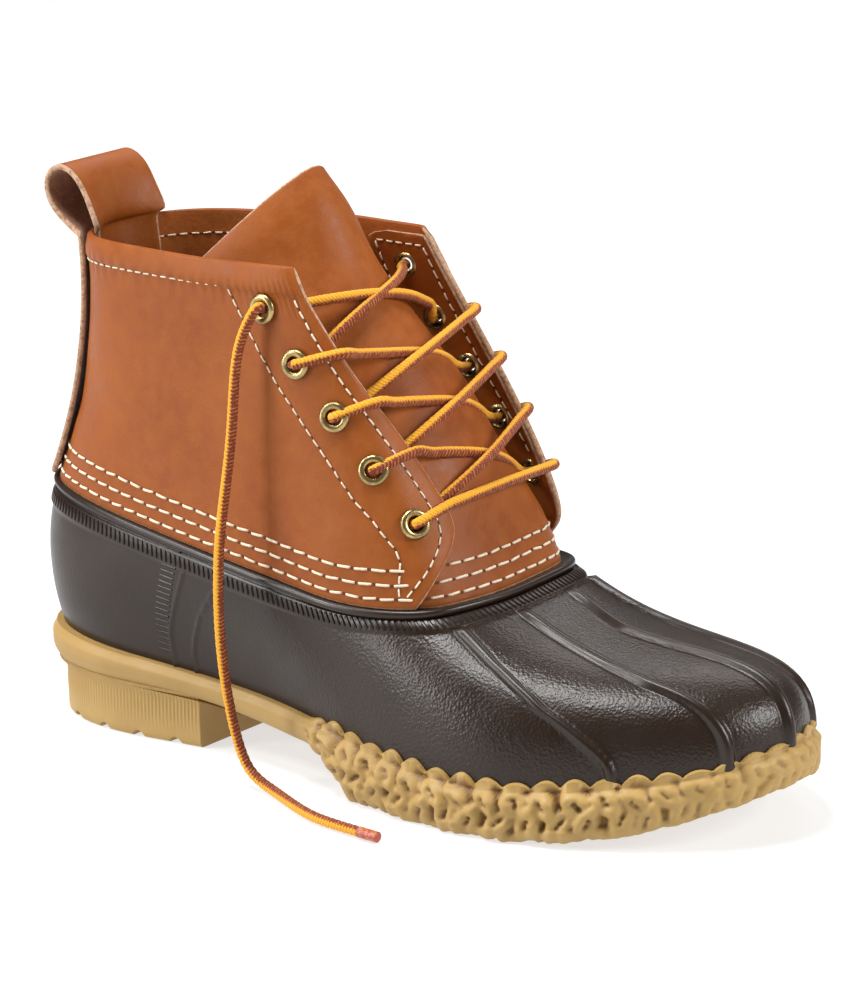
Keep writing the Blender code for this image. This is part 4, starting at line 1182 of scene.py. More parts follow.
def build_knurl_ticks():
    """Fine upright ticks on the band under the bead, left off at the very back, and those of the side lines."""
    fine = np.linspace(0.55, STATIONS - 0.55, 1500)
    line = rubber_wall(fine, 1 - 0.5 * (BAND_DROP + BAND_TOP) / wall_length(fine))
    run = np.concatenate([[0], np.cumsum(np.linalg.norm(np.diff(line, axis=0), axis=1))])
    count = int(run[-1] / sizes().knurl)
    at = np.interp((np.arange(count) + 0.5) / count * run[-1], run, fine)
    length = wall_length(at)
    ends = []
    for drop in (BAND_DROP - 0.0010, BAND_TOP + 0.0007):
        share = 1 - drop / length
        ends.append(rubber_wall(at, share))
    normal = outward(rubber_wall, at, 1 - BAND_DROP / length)
    along = unit(ends[1] - ends[0])
    side = np.cross(normal, along)
    half = sizes().knurl * 0.36
    points, faces = [], []
    for a, b, n, s, t in zip(ends[0], ends[1], normal, side, along):
        start = len(points)
        for place, reach in ((a, 0.5), (a + t * 0.0005, 1.0), (b - t * 0.0005, 1.0), (b, 0.5)):
            base = place + n * (BAND_OUT - 0.0003)
            tall = 0.0003 + 0.00048 * reach
            points += [base - s * half, base - s * half * 0.55 + n * tall, base + s * half * 0.55 + n * tall,
                       base + s * half]
        for r in range(3):
            for c in range(4):
                d = (c + 1) % 4
                low, high = start + 4 * r, start + 4 * r + 4
                faces.append((low + c, low + d, high + d, high + c))
        faces += [(start, start + 1, start + 2, start + 3), (start + 15, start + 14, start + 13, start + 12)]
    table = np.array(SEAMS)
    for share in TICK_SHARES:
        line = np.interp(share, table[:, 0], table[:, 1])
        for way, seam in ((-1, line), (1, STATIONS - line)):
            marks_at = seam + way * np.linspace(0.0, TICK_REACH, 7)
            normal = outward(rubber_wall, marks_at, np.full(7, share))
            spine = rubber_wall(marks_at, share) + normal * -TICK_SUNK
            bar, bar_faces, _ = tube(spine, TICK_RADIUS, 8)
            start = len(points)
            points += list(bar)
            faces += [tuple(start + i for i in f) for f in bar_faces]
    piece("knurl_ticks", points, faces, [finish("moulded_brown_rubber", rubber_finish)], "rubber",
          marks={"grain": np.zeros(len(points))}, sharp=50)


# Leather shaft

QUARTER_ROWS = 64
QUARTER_COLUMNS = 260
PUCKER = 0.00016
COLLAR_SHARES = (0.921, 0.9245, 0.928, 0.934, 0.945, 0.965, 0.985, 0.996)


def edge_stations(share):
    table = np.array(FRONT_EDGE)
    return np.interp(share, table[:, 0], table[:, 1]), np.interp(share, table[:, 0], table[:, 2])


def smooth_edge(share):
    """The front edges' stations at a share, eased between the table's rows."""
    spread_shares = np.clip(share + np.linspace(-0.035, 0.035, 9), 0.0, 1.0)
    near, far = edge_stations(spread_shares)
    return near.mean(), far.mean()


def build_leather_quarters():
    """The quarters' leather from one front edge round the heel to the other, with its rolled collar."""
    middle = np.linspace(1, 0, QUARTER_COLUMNS)
    shares = np.concatenate([np.linspace(0.016, 0.915, QUARTER_ROWS), COLLAR_SHARES])
    outer, inner = [], []
    for share in shares:
        near, far = smooth_edge(share)
        at = np.concatenate([near * middle, [0.0], -(STATIONS - far) * middle[::-1]])
        at = np.delete(at, len(middle) - 1)
        at = np.where(at < 0, at + STATIONS, at)
        row_share = np.full(len(at), share)
        from_near = near - np.where(at > STATIONS / 2 + 1, at - STATIONS, at)
        from_far = far - np.where(at < STATIONS / 2, at + STATIONS, at)
        plain = smooth_step(np.abs(from_near), 0.0, 0.35) * smooth_step(np.abs(from_far), 0.0, 0.35)
        below_collar = smooth_step(share, 0.86, 0.90) * (1 - smooth_step(share, 0.94, 0.96))
        pucker = PUCKER * np.cos(at * 31.0) * below_collar
        step = COLLAR_STEP * smooth_step(share, 0.915, 0.935) * plain + pucker
        step = step - 0.0009 * smooth_step(share, 0.965, 0.996)
        base = OVERLAP_OUT * layer(at) + splay(at, share) - fold_depth(at, row_share)
        edge = np.minimum(np.abs(at - near) * 12, np.abs(at - far) * 12)
        thin = 0.0002 * (1 - np.clip(edge, 0, 1))
        outer.append(off_shaft(at, row_share, base + step - thin))
        inner.append(off_shaft(at, row_share, base - LEATHER))
    points, faces, sides = rounded_sheet(np.array(outer), np.array(inner), 6, True)
    made = piece("leather_quarters", points, faces, leather_set(), "leather", ("quarters",),
                 slots=sides, sharp=60)
    cut_eyelet_holes(made)


def facing_station(share, near_side, column, extra=0.0):
    """Station of a facing line at shares: column 1 is its front stitching, 2 its back stitching."""
    table = np.array(FACING_LINES)
    behind = np.interp(share, table[:, 0], table[:, column]) + extra
    edges = np.array([smooth_edge(s) for s in np.atleast_1d(share)])
    if near_side:
        return edges[:, 0] - behind
    return edges[:, 1] + behind * (1.15 if column == 1 else 0.70)


def build_inner_facings():
    """The leather layers behind the eyelets, inside the quarters' front edges."""
    for near_side, name in ((True, "outer_side_facing"), (False, "inner_side_facing")):
        outer, inner = [], []
        for share in np.linspace(0.30, 0.975, 60):
            edges = smooth_edge(share)
            back = facing_station(share, near_side, 2, 0.16)[0]
            front = edges[0] - 0.04 if near_side else edges[1] + 0.03
            corner = 0.7 * smooth_step(share, 0.945, 0.975) ** 3
            back = back + (front - back) * 0.35 * corner
            at = front + (back - front) * np.linspace(0, 1, 34)
            row = np.full(34, share)
            base = OVERLAP_OUT * layer(at) + splay(at, share) - fold_depth(at, row) - LEATHER
            outer.append(off_shaft(at, row, base - FACING_LAYER))
            inner.append(off_shaft(at, row, base + 0.0002))
        points, faces, sides = rounded_sheet(np.array(outer), np.array(inner), 3)
        finishes = [0 if side < 2 else 2 for side in sides]
        made = piece(name, points, faces, leather_set(), "leather", slots=finishes, sharp=60)
        cut_eyelet_holes(made)


def cut_eyelet_holes(target):
    radius = EYELET_BARREL / 2 + GAP
    points, faces = [], []
    sides = 16
    for share, near, far in EYELETS:
        for at in (near, far):
            centre, normal = eyelet_place(at, share)
            side = unit(np.cross(normal, [0.0, 0.0, 1.0]))
            up = np.cross(normal, side)
            start = len(points)
            for reach in (-0.006, 0.006):
                for i in range(sides):
                    turn = 2 * math.pi * i / sides
                    away = math.cos(turn) * side + math.sin(turn) * up
                    points.append(centre + normal * reach + radius * away)
            faces += [tuple(start + i for i in f) for f in grid_faces(2, sides, False, True)]
            faces.append(tuple(range(start, start + sides)))
            faces.append(tuple(range(start + 2 * sides - 1, start + sides - 1, -1)))
    cutter = piece("eyelet_hole_cutter", points, faces, [], "")
    step = target.modifiers.new("eyelet_holes", "BOOLEAN")
    step.operation = "DIFFERENCE"
    step.solver = "EXACT"
    step.object = cutter
    bpy.context.view_layer.objects.active = target
    bpy.ops.object.modifier_apply(modifier=step.name)
    bpy.data.objects.remove(cutter, do_unlink=True)


TONGUE_COLUMNS = 72


def tongue_dent(row, across):
    """Soft waves of the tongue's leather: the lace's pull and a bend under its top."""
    dent = 0.0007 * np.exp(-((row - 3.6) / 0.5) ** 2) * (1 - across**2)
    dent -= 0.0005 * np.exp(-((row - 1.9) / 0.45) ** 2) * np.cos(across * 2.2)
    dent += 0.0004 * np.sin(row * 2.3 + across * 2.0)
    return dent * smooth_step(row, 0.2, 1.0)


def build_tongue_and_vamp():
    across = np.sin(np.linspace(-1.0, 1.0, TONGUE_COLUMNS + 1) * math.pi / 2)
    table = np.array(VAMP)
    outer, inner = [], []
    for share in np.linspace(VAMP[0][0], VAMP[-1][0], 22):
        near, far = (np.interp(share, table[:, 0], table[:, k]) for k in (1, 2))
        at = (near + far) / 2 + across * (far - near) / 2
        face = np.full(len(across), OVERLAP_OUT - LEATHER - LAYER_GAP)
        outer.append(off_shaft(at, share, face))
        inner.append(off_shaft(at, share, face - VAMP_LEATHER))
    for row in np.linspace(0, len(TONGUE) - 1, 80):
        point, normal = tongue_face(row, across)
        point = point - normal * tongue_dent(row, across)[:, None]
        outer.append(point)
        inner.append(point - normal * VAMP_LEATHER)
    outer, inner = (blend_rows(np.array(grid), 22) for grid in (outer, inner))
    points, faces, sides = rounded_sheet(outer, inner, 4)
    piece("tongue_and_vamp", points, faces, leather_set(), "tongue_leather", ("tongue_vamp",),
          slots=sides, sharp=60)


def blend_rows(grid, seam):
    """The two surfaces meet at a row: the rows about it are eased into each other."""
    out = grid.copy()
    for _ in range(6):
        for r in range(seam - 7, seam + 8):
            out[r] = (out[r - 1] + 2 * out[r] + out[r + 1]) / 4
    return out


def width_stations(share, sideways):
    """Stations of the shaft's back that lie the given distances to either side of its middle."""
    fine = np.linspace(-2.0, 2.0, 81)
    line = shaft(fine % STATIONS, np.full(81, share))
    order = np.argsort(line[:, 1])
    return np.interp(sideways, line[order, 1], fine[order]) % STATIONS


STRAP_COLUMNS = 25
LOOP_ROWS = 110


def strap_rows():
    """Centre rows of the pull strap from the bead up, over the loop and down behind the collar."""
    across = np.linspace(-1.0, 1.0, STRAP_COLUMNS) * LOOP_HALF_WIDTH
    outer, inner = [], []
    for share in np.linspace(0.03, 0.96, 40):
        at = width_stations(share, across)
        lift = np.full(STRAP_COLUMNS, COLLAR_STEP + GAP)
        outer.append(off_shaft(at, share, lift + STRAP))
        inner.append(off_shaft(at, share, lift))
    edge = width_stations(1.0, across)
    collar = off_shaft(edge, 1.0, np.zeros(STRAP_COLUMNS))
    back = shaft(0.0, 1.0)
    anchors = [off_shaft(edge, 1.0, np.full(STRAP_COLUMNS, COLLAR_STEP + 2 * GAP + STRAP / 2))]
    for i, (forward, up) in enumerate(LOOP):
        flatten = math.sin(math.pi * (i + 0.5) / len(LOOP)) ** 0.7
        x = back[0] + forward * LENGTH
        z = back[2] + up * LENGTH
        round_x = x + (collar[:, 0] - back[0]) * (1 - flatten)
        anchors.append(np.stack([round_x, collar[:, 1], np.full(STRAP_COLUMNS, z)], -1))
    for share in (1.0, 0.90, 0.77):
        at = width_stations(share, across)
        anchors.append(off_shaft(at, share, np.full(STRAP_COLUMNS, -LEATHER - GAP - STRAP / 2)))
    anchors = np.array(anchors)
    count = len(anchors)
    at = np.linspace(0, count - 1, LOOP_ROWS)
    flat = open_spline(anchors.reshape(count, -1), at).reshape(LOOP_ROWS, STRAP_COLUMNS, 3)
    tangent = unit(np.gradient(flat, axis=0))
    sideways = unit(np.gradient(flat, axis=1))
    normal = unit(np.cross(sideways, tangent))
    for line, way in zip(flat, normal):
        outer.append(line - way * STRAP / 2)
        inner.append(line + way * STRAP / 2)
    return np.array(outer), np.array(inner)


def build_pull_strap():
    outer, inner = strap_rows()
    points, faces, sides = rounded_sheet(outer, inner, 4)
    piece("pull_strap", points, faces, strap_set(), "strap_leather", ("pull_loop",), slots=sides, sharp=60)


# Stitching

def surface_path(surface, at, share, lift):
    at, share = np.broadcast_arrays(np.asarray(at, float), np.asarray(share, float))
    normal = outward(surface, at, share)
    return surface(at, share) + normal * lift, normal


def vamp_face(at, share):
    return off_shaft(at, share, np.full(np.shape(at), OVERLAP_OUT - LEATHER - LAYER_GAP))


def bottom_row_paths(thread):
    """Rows above the bead: on the quarters round the heel, and on the vamp between them."""
    paths = []
    for distance in BOTTOM_ROWS:
        probe = np.linspace(-(STATIONS - 13.0), 6.9, 500)
        _, climb = shaft_speed(probe % STATIONS, np.full(500, 0.03))
        share = distance / climb
        near = smooth_edge(share.mean())[0] - 0.10
        far = smooth_edge(share.mean())[1] - STATIONS + 0.10
        keep = (probe > far) & (probe < near)
        paths.append(surface_path(leather_face, probe[keep] % STATIONS, share[keep], thread * THREAD_LIFT))
        probe = np.linspace(near + 0.22, STATIONS + far - 0.22, 200)
        _, climb = shaft_speed(probe, np.full(200, 0.03))
        paths.append(surface_path(vamp_face, probe, distance / climb, thread * THREAD_LIFT))
    return paths


def facing_paths(thread):
    """Two lines down each front facing."""
    paths = []
    for near_side in (True, False):
        for column, low, high in ((1, 0.05, 0.950), (2, 0.05, 0.930)):
            share = np.linspace(low, high, 160)
            at = facing_station(share, near_side, column)
            paths.append(surface_path(leather_face, at, share, thread * THREAD_LIFT))
    return paths


def inner_face(at, share):
    """The quarters' inner face."""
    base = OVERLAP_OUT * layer(at) + splay(at, share) - fold_depth(at, share)
    return off_shaft(at, share, base - LEATHER)


def inner_facing_paths(thread):
    """The same lines seen on the inside of the inner side's facing, closed across its top."""
    paths = []
    lift = FACING_LAYER + thread * THREAD_LIFT
    for column in (1, 2):
        share = np.linspace(0.34, 0.945, 120)
        at = facing_station(share, False, column)
        normal = -outward(inner_face, at, share)
        paths.append((inner_face(at, share) + normal * lift, normal))
    ends = [facing_station(0.945, False, column)[0] for column in (1, 2)]
    at = np.linspace(*ends, 30)
    share = np.full(30, 0.945)
    normal = -outward(inner_face, at, share)
    paths.append((inner_face(at, share) + normal * lift, normal))
    return paths


def collar_paths(thread):
    """One line round the collar under its fold, outside and inside."""
    near, far = smooth_edge(0.9)
    at = np.linspace(near - 0.42, -(STATIONS - far) + 0.30, 420) % STATIONS
    _, climb = shaft_speed(at, np.full(420, 0.95))
    share = 1 - COLLAR_ROW / climb

    def step(a, h):
        return leather_face(a, h) + outward(leather_face, a, h) * 0.0002

    inside = np.linspace(2.2, -4.2, 300) % STATIONS
    _, climb = shaft_speed(inside, np.full(300, 0.95))
    low = 1 - COLLAR_ROW / climb
    normal = -outward(inner_face, inside, low)
    inner_row = inner_face(inside, low) + normal * thread * THREAD_LIFT
    return [surface_path(step, at, share, thread * THREAD_LIFT), (inner_row, normal)]


def build_stitching():
    size = sizes()
    thread = size.thread
    groups = (
        ("bottom_stitching", bottom_row_paths(thread), 1.30, 1.05),
        ("facing_stitching", facing_paths(thread * 0.8), 0.74, 0.72),
        ("inner_facing_stitching", inner_facing_paths(thread * 0.8), 0.74, 0.72),
        ("collar_stitching", collar_paths(thread * 0.8), 0.74, 0.72),
    )
    holes, hole_faces = [], []
    start = 0
    for number, (name, paths, long, thick) in enumerate(groups):
        made = stitches(paths, size.stitch * long, size.stitch_gap, thread * thick, number)
        piece(name, made[0], made[1], [finish("cream_thread", thread_finish)], "leather", sharp=70)
        holes.append(made[2])
        hole_faces += [tuple(start + i for i in f) for f in made[3]]
        start += len(made[2])
    # Needle holes: flat dark discs, painted shade for the holes' depth.
    piece("needle_holes", np.concatenate(holes), hole_faces, [finish("needle_hole_shade", hole_shade_finish)], "leather")


# Gum sole

LINK_LONG = 0.0042
LINK_SHORT = 0.0019
LINK_LEAN = 36.0
LINK_ROWS = (0.0048, 0.0122, 0.0196, 0.0270)
# Crease depths over which the painted shade in the tread grows from none to full.
CREASE_SHADE_DEPTHS = (0.00006, 0.00085)


def chain_height(u, v, pitch, rows, cord, seed):
    """Height of interlocked chain links over a plane: u along, v across, with the row centres in rows."""
    wobble = np.random.default_rng(seed)
    height = np.zeros(np.shape(u))
    count = int(u.max() / pitch) + 2
    for number, centre_v in enumerate(rows):
        for k in range(-1, count):
            centre_u = (k + 0.5 * (number % 2)) * pitch + wobble.normal(0, 0.05) * pitch
            middle_v = centre_v + wobble.normal(0, 0.05) * pitch
            lean = math.radians(90 + (LINK_LEAN if number % 2 else -LINK_LEAN)) + wobble.normal(0, 0.24)
            over = wobble.normal(0, 0.5) + (0 if k % 2 else math.pi)
            short = LINK_SHORT * wobble.uniform(0.75, 1.30)
            near = np.abs(u - centre_u) < pitch * 1.1
            if not near.any():
                continue
            du, dv = u[near] - centre_u, v[near] - middle_v
            a = du * math.cos(lean) + dv * math.sin(lean)
            b = -du * math.sin(lean) + dv * math.cos(lean)
            turn = np.arctan2(b / short, a / LINK_LONG)
            ring_a, ring_b = LINK_LONG * np.cos(turn), short * np.sin(turn)
            distance = np.hypot(a - ring_a, b - ring_b)
            rise = cord * (0.18 + 0.34 * np.cos(turn - over))
            cord_here = cord * (1 + 0.12 * np.cos(3 * turn + over))
            inside = np.clip(1 - (distance / cord_here) ** 2, 0, 1)
            link = np.where(inside > 0, rise * np.minimum(inside * 3, 1) + cord_here * np.sqrt(inside), 0)
            height[near] = np.maximum(height[near], link)
    return height


def eased(height, passes):
    """The grid smoothed by its neighbours."""
    for _ in range(passes):
        for axis in (0, 1):
            height = (np.roll(height, 1, axis) + 2 * height + np.roll(height, -1, axis)) / 4
    return height


def creases(height):
    """How far each place lies under its surroundings: the narrow valleys between the links."""
    return np.clip(eased(height, 7) - height, 0, None)


SOLE_STEP = 0.00075
HEEL_STEP = 0.0022
UNDER_INSETS = (0.0100, 0.0085, 0.0070, 0.0058, 0.0048, 0.0040, 0.0033)
SIDE_ROWS = 28


def sole_columns():
    """Stations of the sole's ring, its two sides paired by their place along the shoe."""
    fine, line, run = edge_run()
    toe = int(np.argmax(line[:, 0]))
    back = run[toe]
    marks = [0.0]
    while marks[-1] < back - SOLE_STEP:
        x = float(np.interp(back - marks[-1], run, line[:, 0]))
        marks.append(marks[-1] + (SOLE_STEP if x > TREAD_START - 0.004 else HEEL_STEP))
    marks = back - np.array(marks[:-1])[::-1]
    near = np.concatenate([[0.0], np.interp(marks, run, fine)])
    x = np.interp(near, fine, line[:, 0])
    far = np.interp(x[1:-1], line[toe:, 0][::-1], fine[toe:][::-1])[::-1]
    at = np.concatenate([near, far])
    return at, np.interp(at, fine, run)


def build_gum_sole():
    size = sizes()
    at, run = sole_columns()
    edge = sole_edge(at)
    x = edge[:, 0]
    top = foxing_top(at)
    low = underside(x) + 0.0022 * (1 - smooth_step(x, 0.0, 0.060))
    tread = smooth_step(x, TREAD_START - 0.002, TREAD_START + 0.010)
    body = top - low
    toe_calm = 1 - 0.55 * smooth_step(x, 0.200, 0.238)
    scallop = np.abs(np.cos(math.pi * run / size.link)) ** 0.8
    uneven = 0.75 + 0.25 * np.sin(run / 0.017) * np.cos(run / 0.0071)
    scallop = scallop * uneven * (0.0036 * tread * (0.35 + 0.65 * toe_calm))
    round_radius = 0.0080 - 0.0050 * smooth_step(x, 0.02, TREAD_START)
    rows, painted_shade = [], []

    side_share = np.linspace(0, 1, SIDE_ROWS)
    v_side = side_share[:, None] * body[None]
    v_under = -np.array([i - UNDER_INSETS[-1] for i in UNDER_INSETS])[:, None] - 0.0015
    v = np.concatenate([np.broadcast_to(v_under, (len(UNDER_INSETS), len(at))), v_side])
    u = np.broadcast_to(run[None], v.shape)
    from_top = body[None] - v
    links = chain_height(u, from_top, size.link, LINK_ROWS, size.cord, 7)
    links = eased(np.maximum(links, 0.10 * size.cord), 1)
    valley = creases(links)
    links = (links - 0.55 * valley) * (tread * toe_calm)[None]
    # Painted shade: the deeper a crease between the links, the darker the gum is painted there.
    depth = smooth_step(valley, *CREASE_SHADE_DEPTHS) * (tread * toe_calm)[None]
    for k, inset in enumerate(UNDER_INSETS):
        base = with_height(sole_edge(at, inset), low + 0.0018 * tread)
        rows.append(with_height(base, np.maximum(base[:, 2] - links[k] * 0.6, low + 0.0002)))
        painted_shade.append(depth[k])
    for k, share in enumerate(side_share):
        row = len(UNDER_INSETS) + k
        rise = share * body
        t = np.clip(rise / round_radius, 0, 1)
        inset = round_radius * (1 - np.sqrt(1 - (1 - t) ** 2)) * (0.45 + 0.55 * (1 - tread))
        inset = inset + CUP_TOP_INSET * smooth_step(share, 0.75, 1.0) + 0.0022 * tread
        base = sole_edge(at, inset)
        out = unit(base - sole_edge(at, inset + 0.004))
        fade = 1 - smooth_step(share, 0.90, 1.0) * 0.35
        lift = links[row] * fade
        down = (1 - t) * lift * 0.6
        height = np.maximum(low + rise - down + 0.0018 * tread * (1 - share), low + 0.0002)
        point = with_height(base + out * (lift * (0.4 + 0.6 * t))[:, None], height)
        rows.append(point)
        painted_shade.append(depth[row])
    length = wall_length(at)
    for reach, lift in ((1.0, 0.0011), (1.15, 0.0004), (1.15, -0.0004)):
        share = (scallop * reach + 0.0003) / length
        swell = links[-1] * 0.45 * (lift > 0.001)
        rows.append(rubber_wall(at, share) + outward(rubber_wall, at, share) * (lift + swell)[:, None])
        painted_shade.append(np.zeros(len(at)))
    inner = sole_edge(at, CUP_TOP_INSET + CUP_WALL)
    rows.append(with_height(inner, top - 0.003))
    rows.append(with_height(inner, cup_floor(inner[:, 0])))
    painted_shade += [np.zeros(len(at))] * 2
    # Painted shade: the sole behind the tread, its foxing included, is painted darker by a quarter share.
    painted_shade = np.array(painted_shade) + 0.25 * (1 - tread)[None]
    grid = np.array(rows)
    count = grid.shape[1]
    faces = grid_faces(grid.shape[0], count, False, True)
    faces += ladder(count, 0) + ladder(count, count * (grid.shape[0] - 1))
    piece("gum_sole", grid, faces, [finish("gum_rubber", gum_finish)], "gum", ("outsole",),
          {"painted_shade": painted_shade}, sharp=75)


HEEL_COLUMNS = 420


def build_gum_heel():
    """The heel block: fine upright ribs round its top, round grooves across its floor face."""
    fine, line, _ = edge_run()
    inset_line = sole_edge(fine, HEEL_INSET)
    toe = int(np.argmax(line[:, 0]))
    back = float(inset_line[:, 0].min())
    share = 0.5 - 0.5 * np.cos(np.pi * np.linspace(0, 1, HEEL_COLUMNS) * 0.92)
    x = back + (HEEL_BREAST - back) * share / share[-1]
    near_first = int(np.argmin(inset_line[:toe, 0]))
    near = np.interp(x, inset_line[near_first:toe, 0], fine[near_first:toe])
    far = np.interp(x[1:], inset_line[toe:, 0][::-1], fine[toe:][::-1])[::-1]
    at = np.concatenate([near, far])
    ring = sole_edge(at, HEEL_INSET)
    count = len(at)
    length = np.concatenate([[0], np.cumsum(np.linalg.norm(np.diff(ring, axis=0), axis=1))])
    out = unit(sole_edge(at, 0.0) - sole_edge(at, 0.01))
    ribs = 0.5 + 0.5 * np.cos(length / sizes().heel_rib * 2 * math.pi)
    centres = (np.arange(LUG_COUNT) - (LUG_COUNT - 1) / 2) * LUG_PITCH
    nearest = np.min(np.abs(ring[:, 0][:, None] - centres[None]), axis=1)
    floor = np.sqrt(np.clip(LUG_GROOVE**2 - nearest**2, 0, None)) * 0.9
    rows = [with_height(ring, 0.0225)]
    for height in (0.0200, 0.0180, 0.0160, 0.0145, 0.0125, 0.0105, 0.0085, 0.0065, 0.0045, 0.0028):
        strength = 0.00028 * smooth_step(height, 0.0030, 0.0120)
        flare = 0.0036 * smooth_step(height, 0.0158, 0.0215) ** 1.5
        rows.append(with_height(ring + out * (ribs * strength + flare)[:, None], max(height, 0.0028)))
    rows.append(with_height(ring - out * 0.0002, np.maximum(floor, 0.0012)))
    rows.append(with_height(ring - out * 0.0009, np.maximum(floor, 0.0003)))
    rows.append(with_height(ring - out * 0.0018, floor))
    grid = np.array(rows)
    faces = grid_faces(grid.shape[0], count, False, True)
    faces += ladder(count, 0) + ladder(count, count * (grid.shape[0] - 1))
    piece("gum_heel", grid, faces, [finish("gum_rubber", gum_finish)], "gum",
          marks={"painted_shade": np.zeros(grid.shape[:2])}, sharp=50)


def build_chain_floor():
    """The chain tread under the forefoot: rows of links over the recessed middle of the sole."""
    size = sizes()
    x = np.arange(TREAD_FULL - 0.004, 0.236, 0.0011)
    side = np.linspace(-1, 1, 84)
    fine, line, _ = edge_run()
    toe = int(np.argmax(line[:, 0]))
    inner = sole_edge(fine, 0.0092)
    near_y = np.interp(x, inner[: toe - 8, 0], inner[: toe - 8, 1])
    far_y = np.interp(x, inner[toe + 8 :, 0][::-1], inner[toe + 8 :, 1][::-1])
    y = (near_y + far_y)[:, None] / 2 + (far_y - near_y)[:, None] / 2 * side[None]
    u = np.broadcast_to(x[:, None] - x[0], y.shape)
    rows = np.arange(-6, 7) * size.link * 0.78
    links = chain_height(u, y - SWING * x[:, None], size.link, rows, size.cord, 11)
    z = underside(x)[:, None] + 0.0002 + np.maximum(size.cord * 1.4 - links, 0)
    top = underside(x)[:, None] + 0.0045 + 0 * y
    grid = np.stack([np.broadcast_to(x[:, None], y.shape), y, z], -1)
    cover = np.stack([np.broadcast_to(x[:, None], y.shape), y, top], -1)
    points = np.concatenate([grid.reshape(-1, 3), cover.reshape(-1, 3)])
    half = grid.shape[0] * grid.shape[1]
    faces = grid_faces(*grid.shape[:2])
    faces += [tuple(half + i for i in reversed(f)) for f in faces]
    r, c = grid.shape[:2]
    rim = [k for k in range(c)] + [k * c + c - 1 for k in range(1, r)]
    rim += [(r - 1) * c + k for k in range(c - 2, -1, -1)] + [k * c for k in range(r - 2, 0, -1)]
    for a, b in zip(rim, rim[1:] + rim[:1]):
        faces.append((b, a, half + a, half + b))
    # Painted shade in the creases between the chain floor's links.
    painted_shade = np.concatenate([smooth_step(creases(links), *CREASE_SHADE_DEPTHS).ravel(), np.zeros(half)])
    piece("chain_tread", points, faces, [finish("gum_rubber", gum_finish)], "gum",
          marks={"painted_shade": painted_shade}, sharp=75)


# Eyelets and lace

EYELET_SIDES = 36


def build_brass_eyelets():
    bore, barrel, flange = EYELET_BORE / 2, EYELET_BARREL / 2, EYELET_FLANGE / 2
    points, faces = [], []
    profile = []
    middle = (bore + flange) / 2
    half = (flange - bore) / 2
    for turn in np.radians(np.linspace(0, 180, 9)):
        profile.append((middle + half * math.cos(turn), 2 * GAP + 0.0012 * math.sin(turn) ** 0.8))
    behind = ((bore, 0.0002), (bore + 0.0006, 0.0010), (flange * 0.66, 0.0013), (flange * 0.86, 0.0009),
              (flange * 0.88, 0.0004), (barrel, 0.0003))
    profile += [(radius, -LEATHER - depth) for radius, depth in behind] + [(barrel, GAP)]
    names = []
    for number, (share, near, far) in enumerate(EYELETS, 1):
        for side_name, at in (("outer", near), ("inner", far)):
            names.append(f"eyelet_{side_name}_{number}")
            centre, normal = eyelet_place(at, share)
            side = unit(np.cross(normal, [0.0, 0.0, 1.0]))
            up = np.cross(normal, side)
            start = len(points)
            for radius, height in profile:
                for i in range(EYELET_SIDES):
                    turn = 2 * math.pi * i / EYELET_SIDES
                    away = math.cos(turn) * side + math.sin(turn) * up
                    points.append(centre + normal * height + radius * away)
            faces += [tuple(start + i for i in f) for f in grid_faces(len(profile), EYELET_SIDES, True, True)]
    piece("brass_eyelets", points, faces, [finish("aged_brass", brass_finish)], "brass", names, sharp=60)


def push_off_tongue(line, clear):
    """Moves the points of a line that would sink into the tongue's face out to its clearance."""
    rows, across = np.meshgrid(np.linspace(0, 5.5, 80), np.linspace(-1, 1, 61), indexing="ij")
    face, normal = tongue_face(rows, across)
    face, normal = face.reshape(-1, 3), normal.reshape(-1, 3)
    out = line.copy()
    for _ in range(2):
        for i, point in enumerate(out):
            near = int(np.argmin(((face - point) ** 2).sum(1)))
            depth = float(np.dot(point - face[near], normal[near]))
            if depth < clear and abs(across.ravel()[near]) < 0.97:
                out[i] = point + normal[near] * (clear - depth)
    for _ in range(8):
        out[1:-1] = (out[:-2] + 2 * out[1:-1] + out[2:]) / 4
    return out


def edge_point(share, near_side, lift):
    """A place on a quarter's front edge, lifted off its face: where a strand bends over it."""
    near, far = smooth_edge(share)
    at, share = np.asarray(near if near_side else far), np.asarray(share)
    return leather_face(at, share) + outward(leather_face, at, share) * lift


def eyelet_end(number, near_side, outside):
    """Start of a strand in an eyelet: its place at the leather's face and the way out."""
    share, near, far = EYELETS[number]
    centre, normal = eyelet_place(near if near_side else far, share)
    if outside:
        return centre + normal * 0.0004, normal
    return centre - normal * (LEATHER + 0.0006), -normal


# Strands by eyelet number from the top: near eyelet, leaves by its outside, far eyelet, enters by its
# outside, how far the strand arches off the tongue and how far its gold side is rolled.
STRANDS = (
    # near, outside, far, outside, arch, roll
    (0, False, 1, False, 0.004, -0.5),
    (1, True, 2, False, 0.003, -0.2),
    (1, False, 0, False, 0.005, 0.0),
    (2, True, 3, False, 0.003, -0.3),
    (2, False, 1, True, 0.006, -0.6),
    (3, True, 4, False, 0.003, 0.1),
    (3, False, 2, True, 0.006, -0.4),
    (4, True, 4, True, 0.002, -0.5),
    (4, False, 3, True, 0.006, 0.0),
)
STRAND_STEP = 0.00048
STRAND_EASING = 45
LACE_SIDES = 16
FREE_LACE_ROLL = math.pi - 0.12


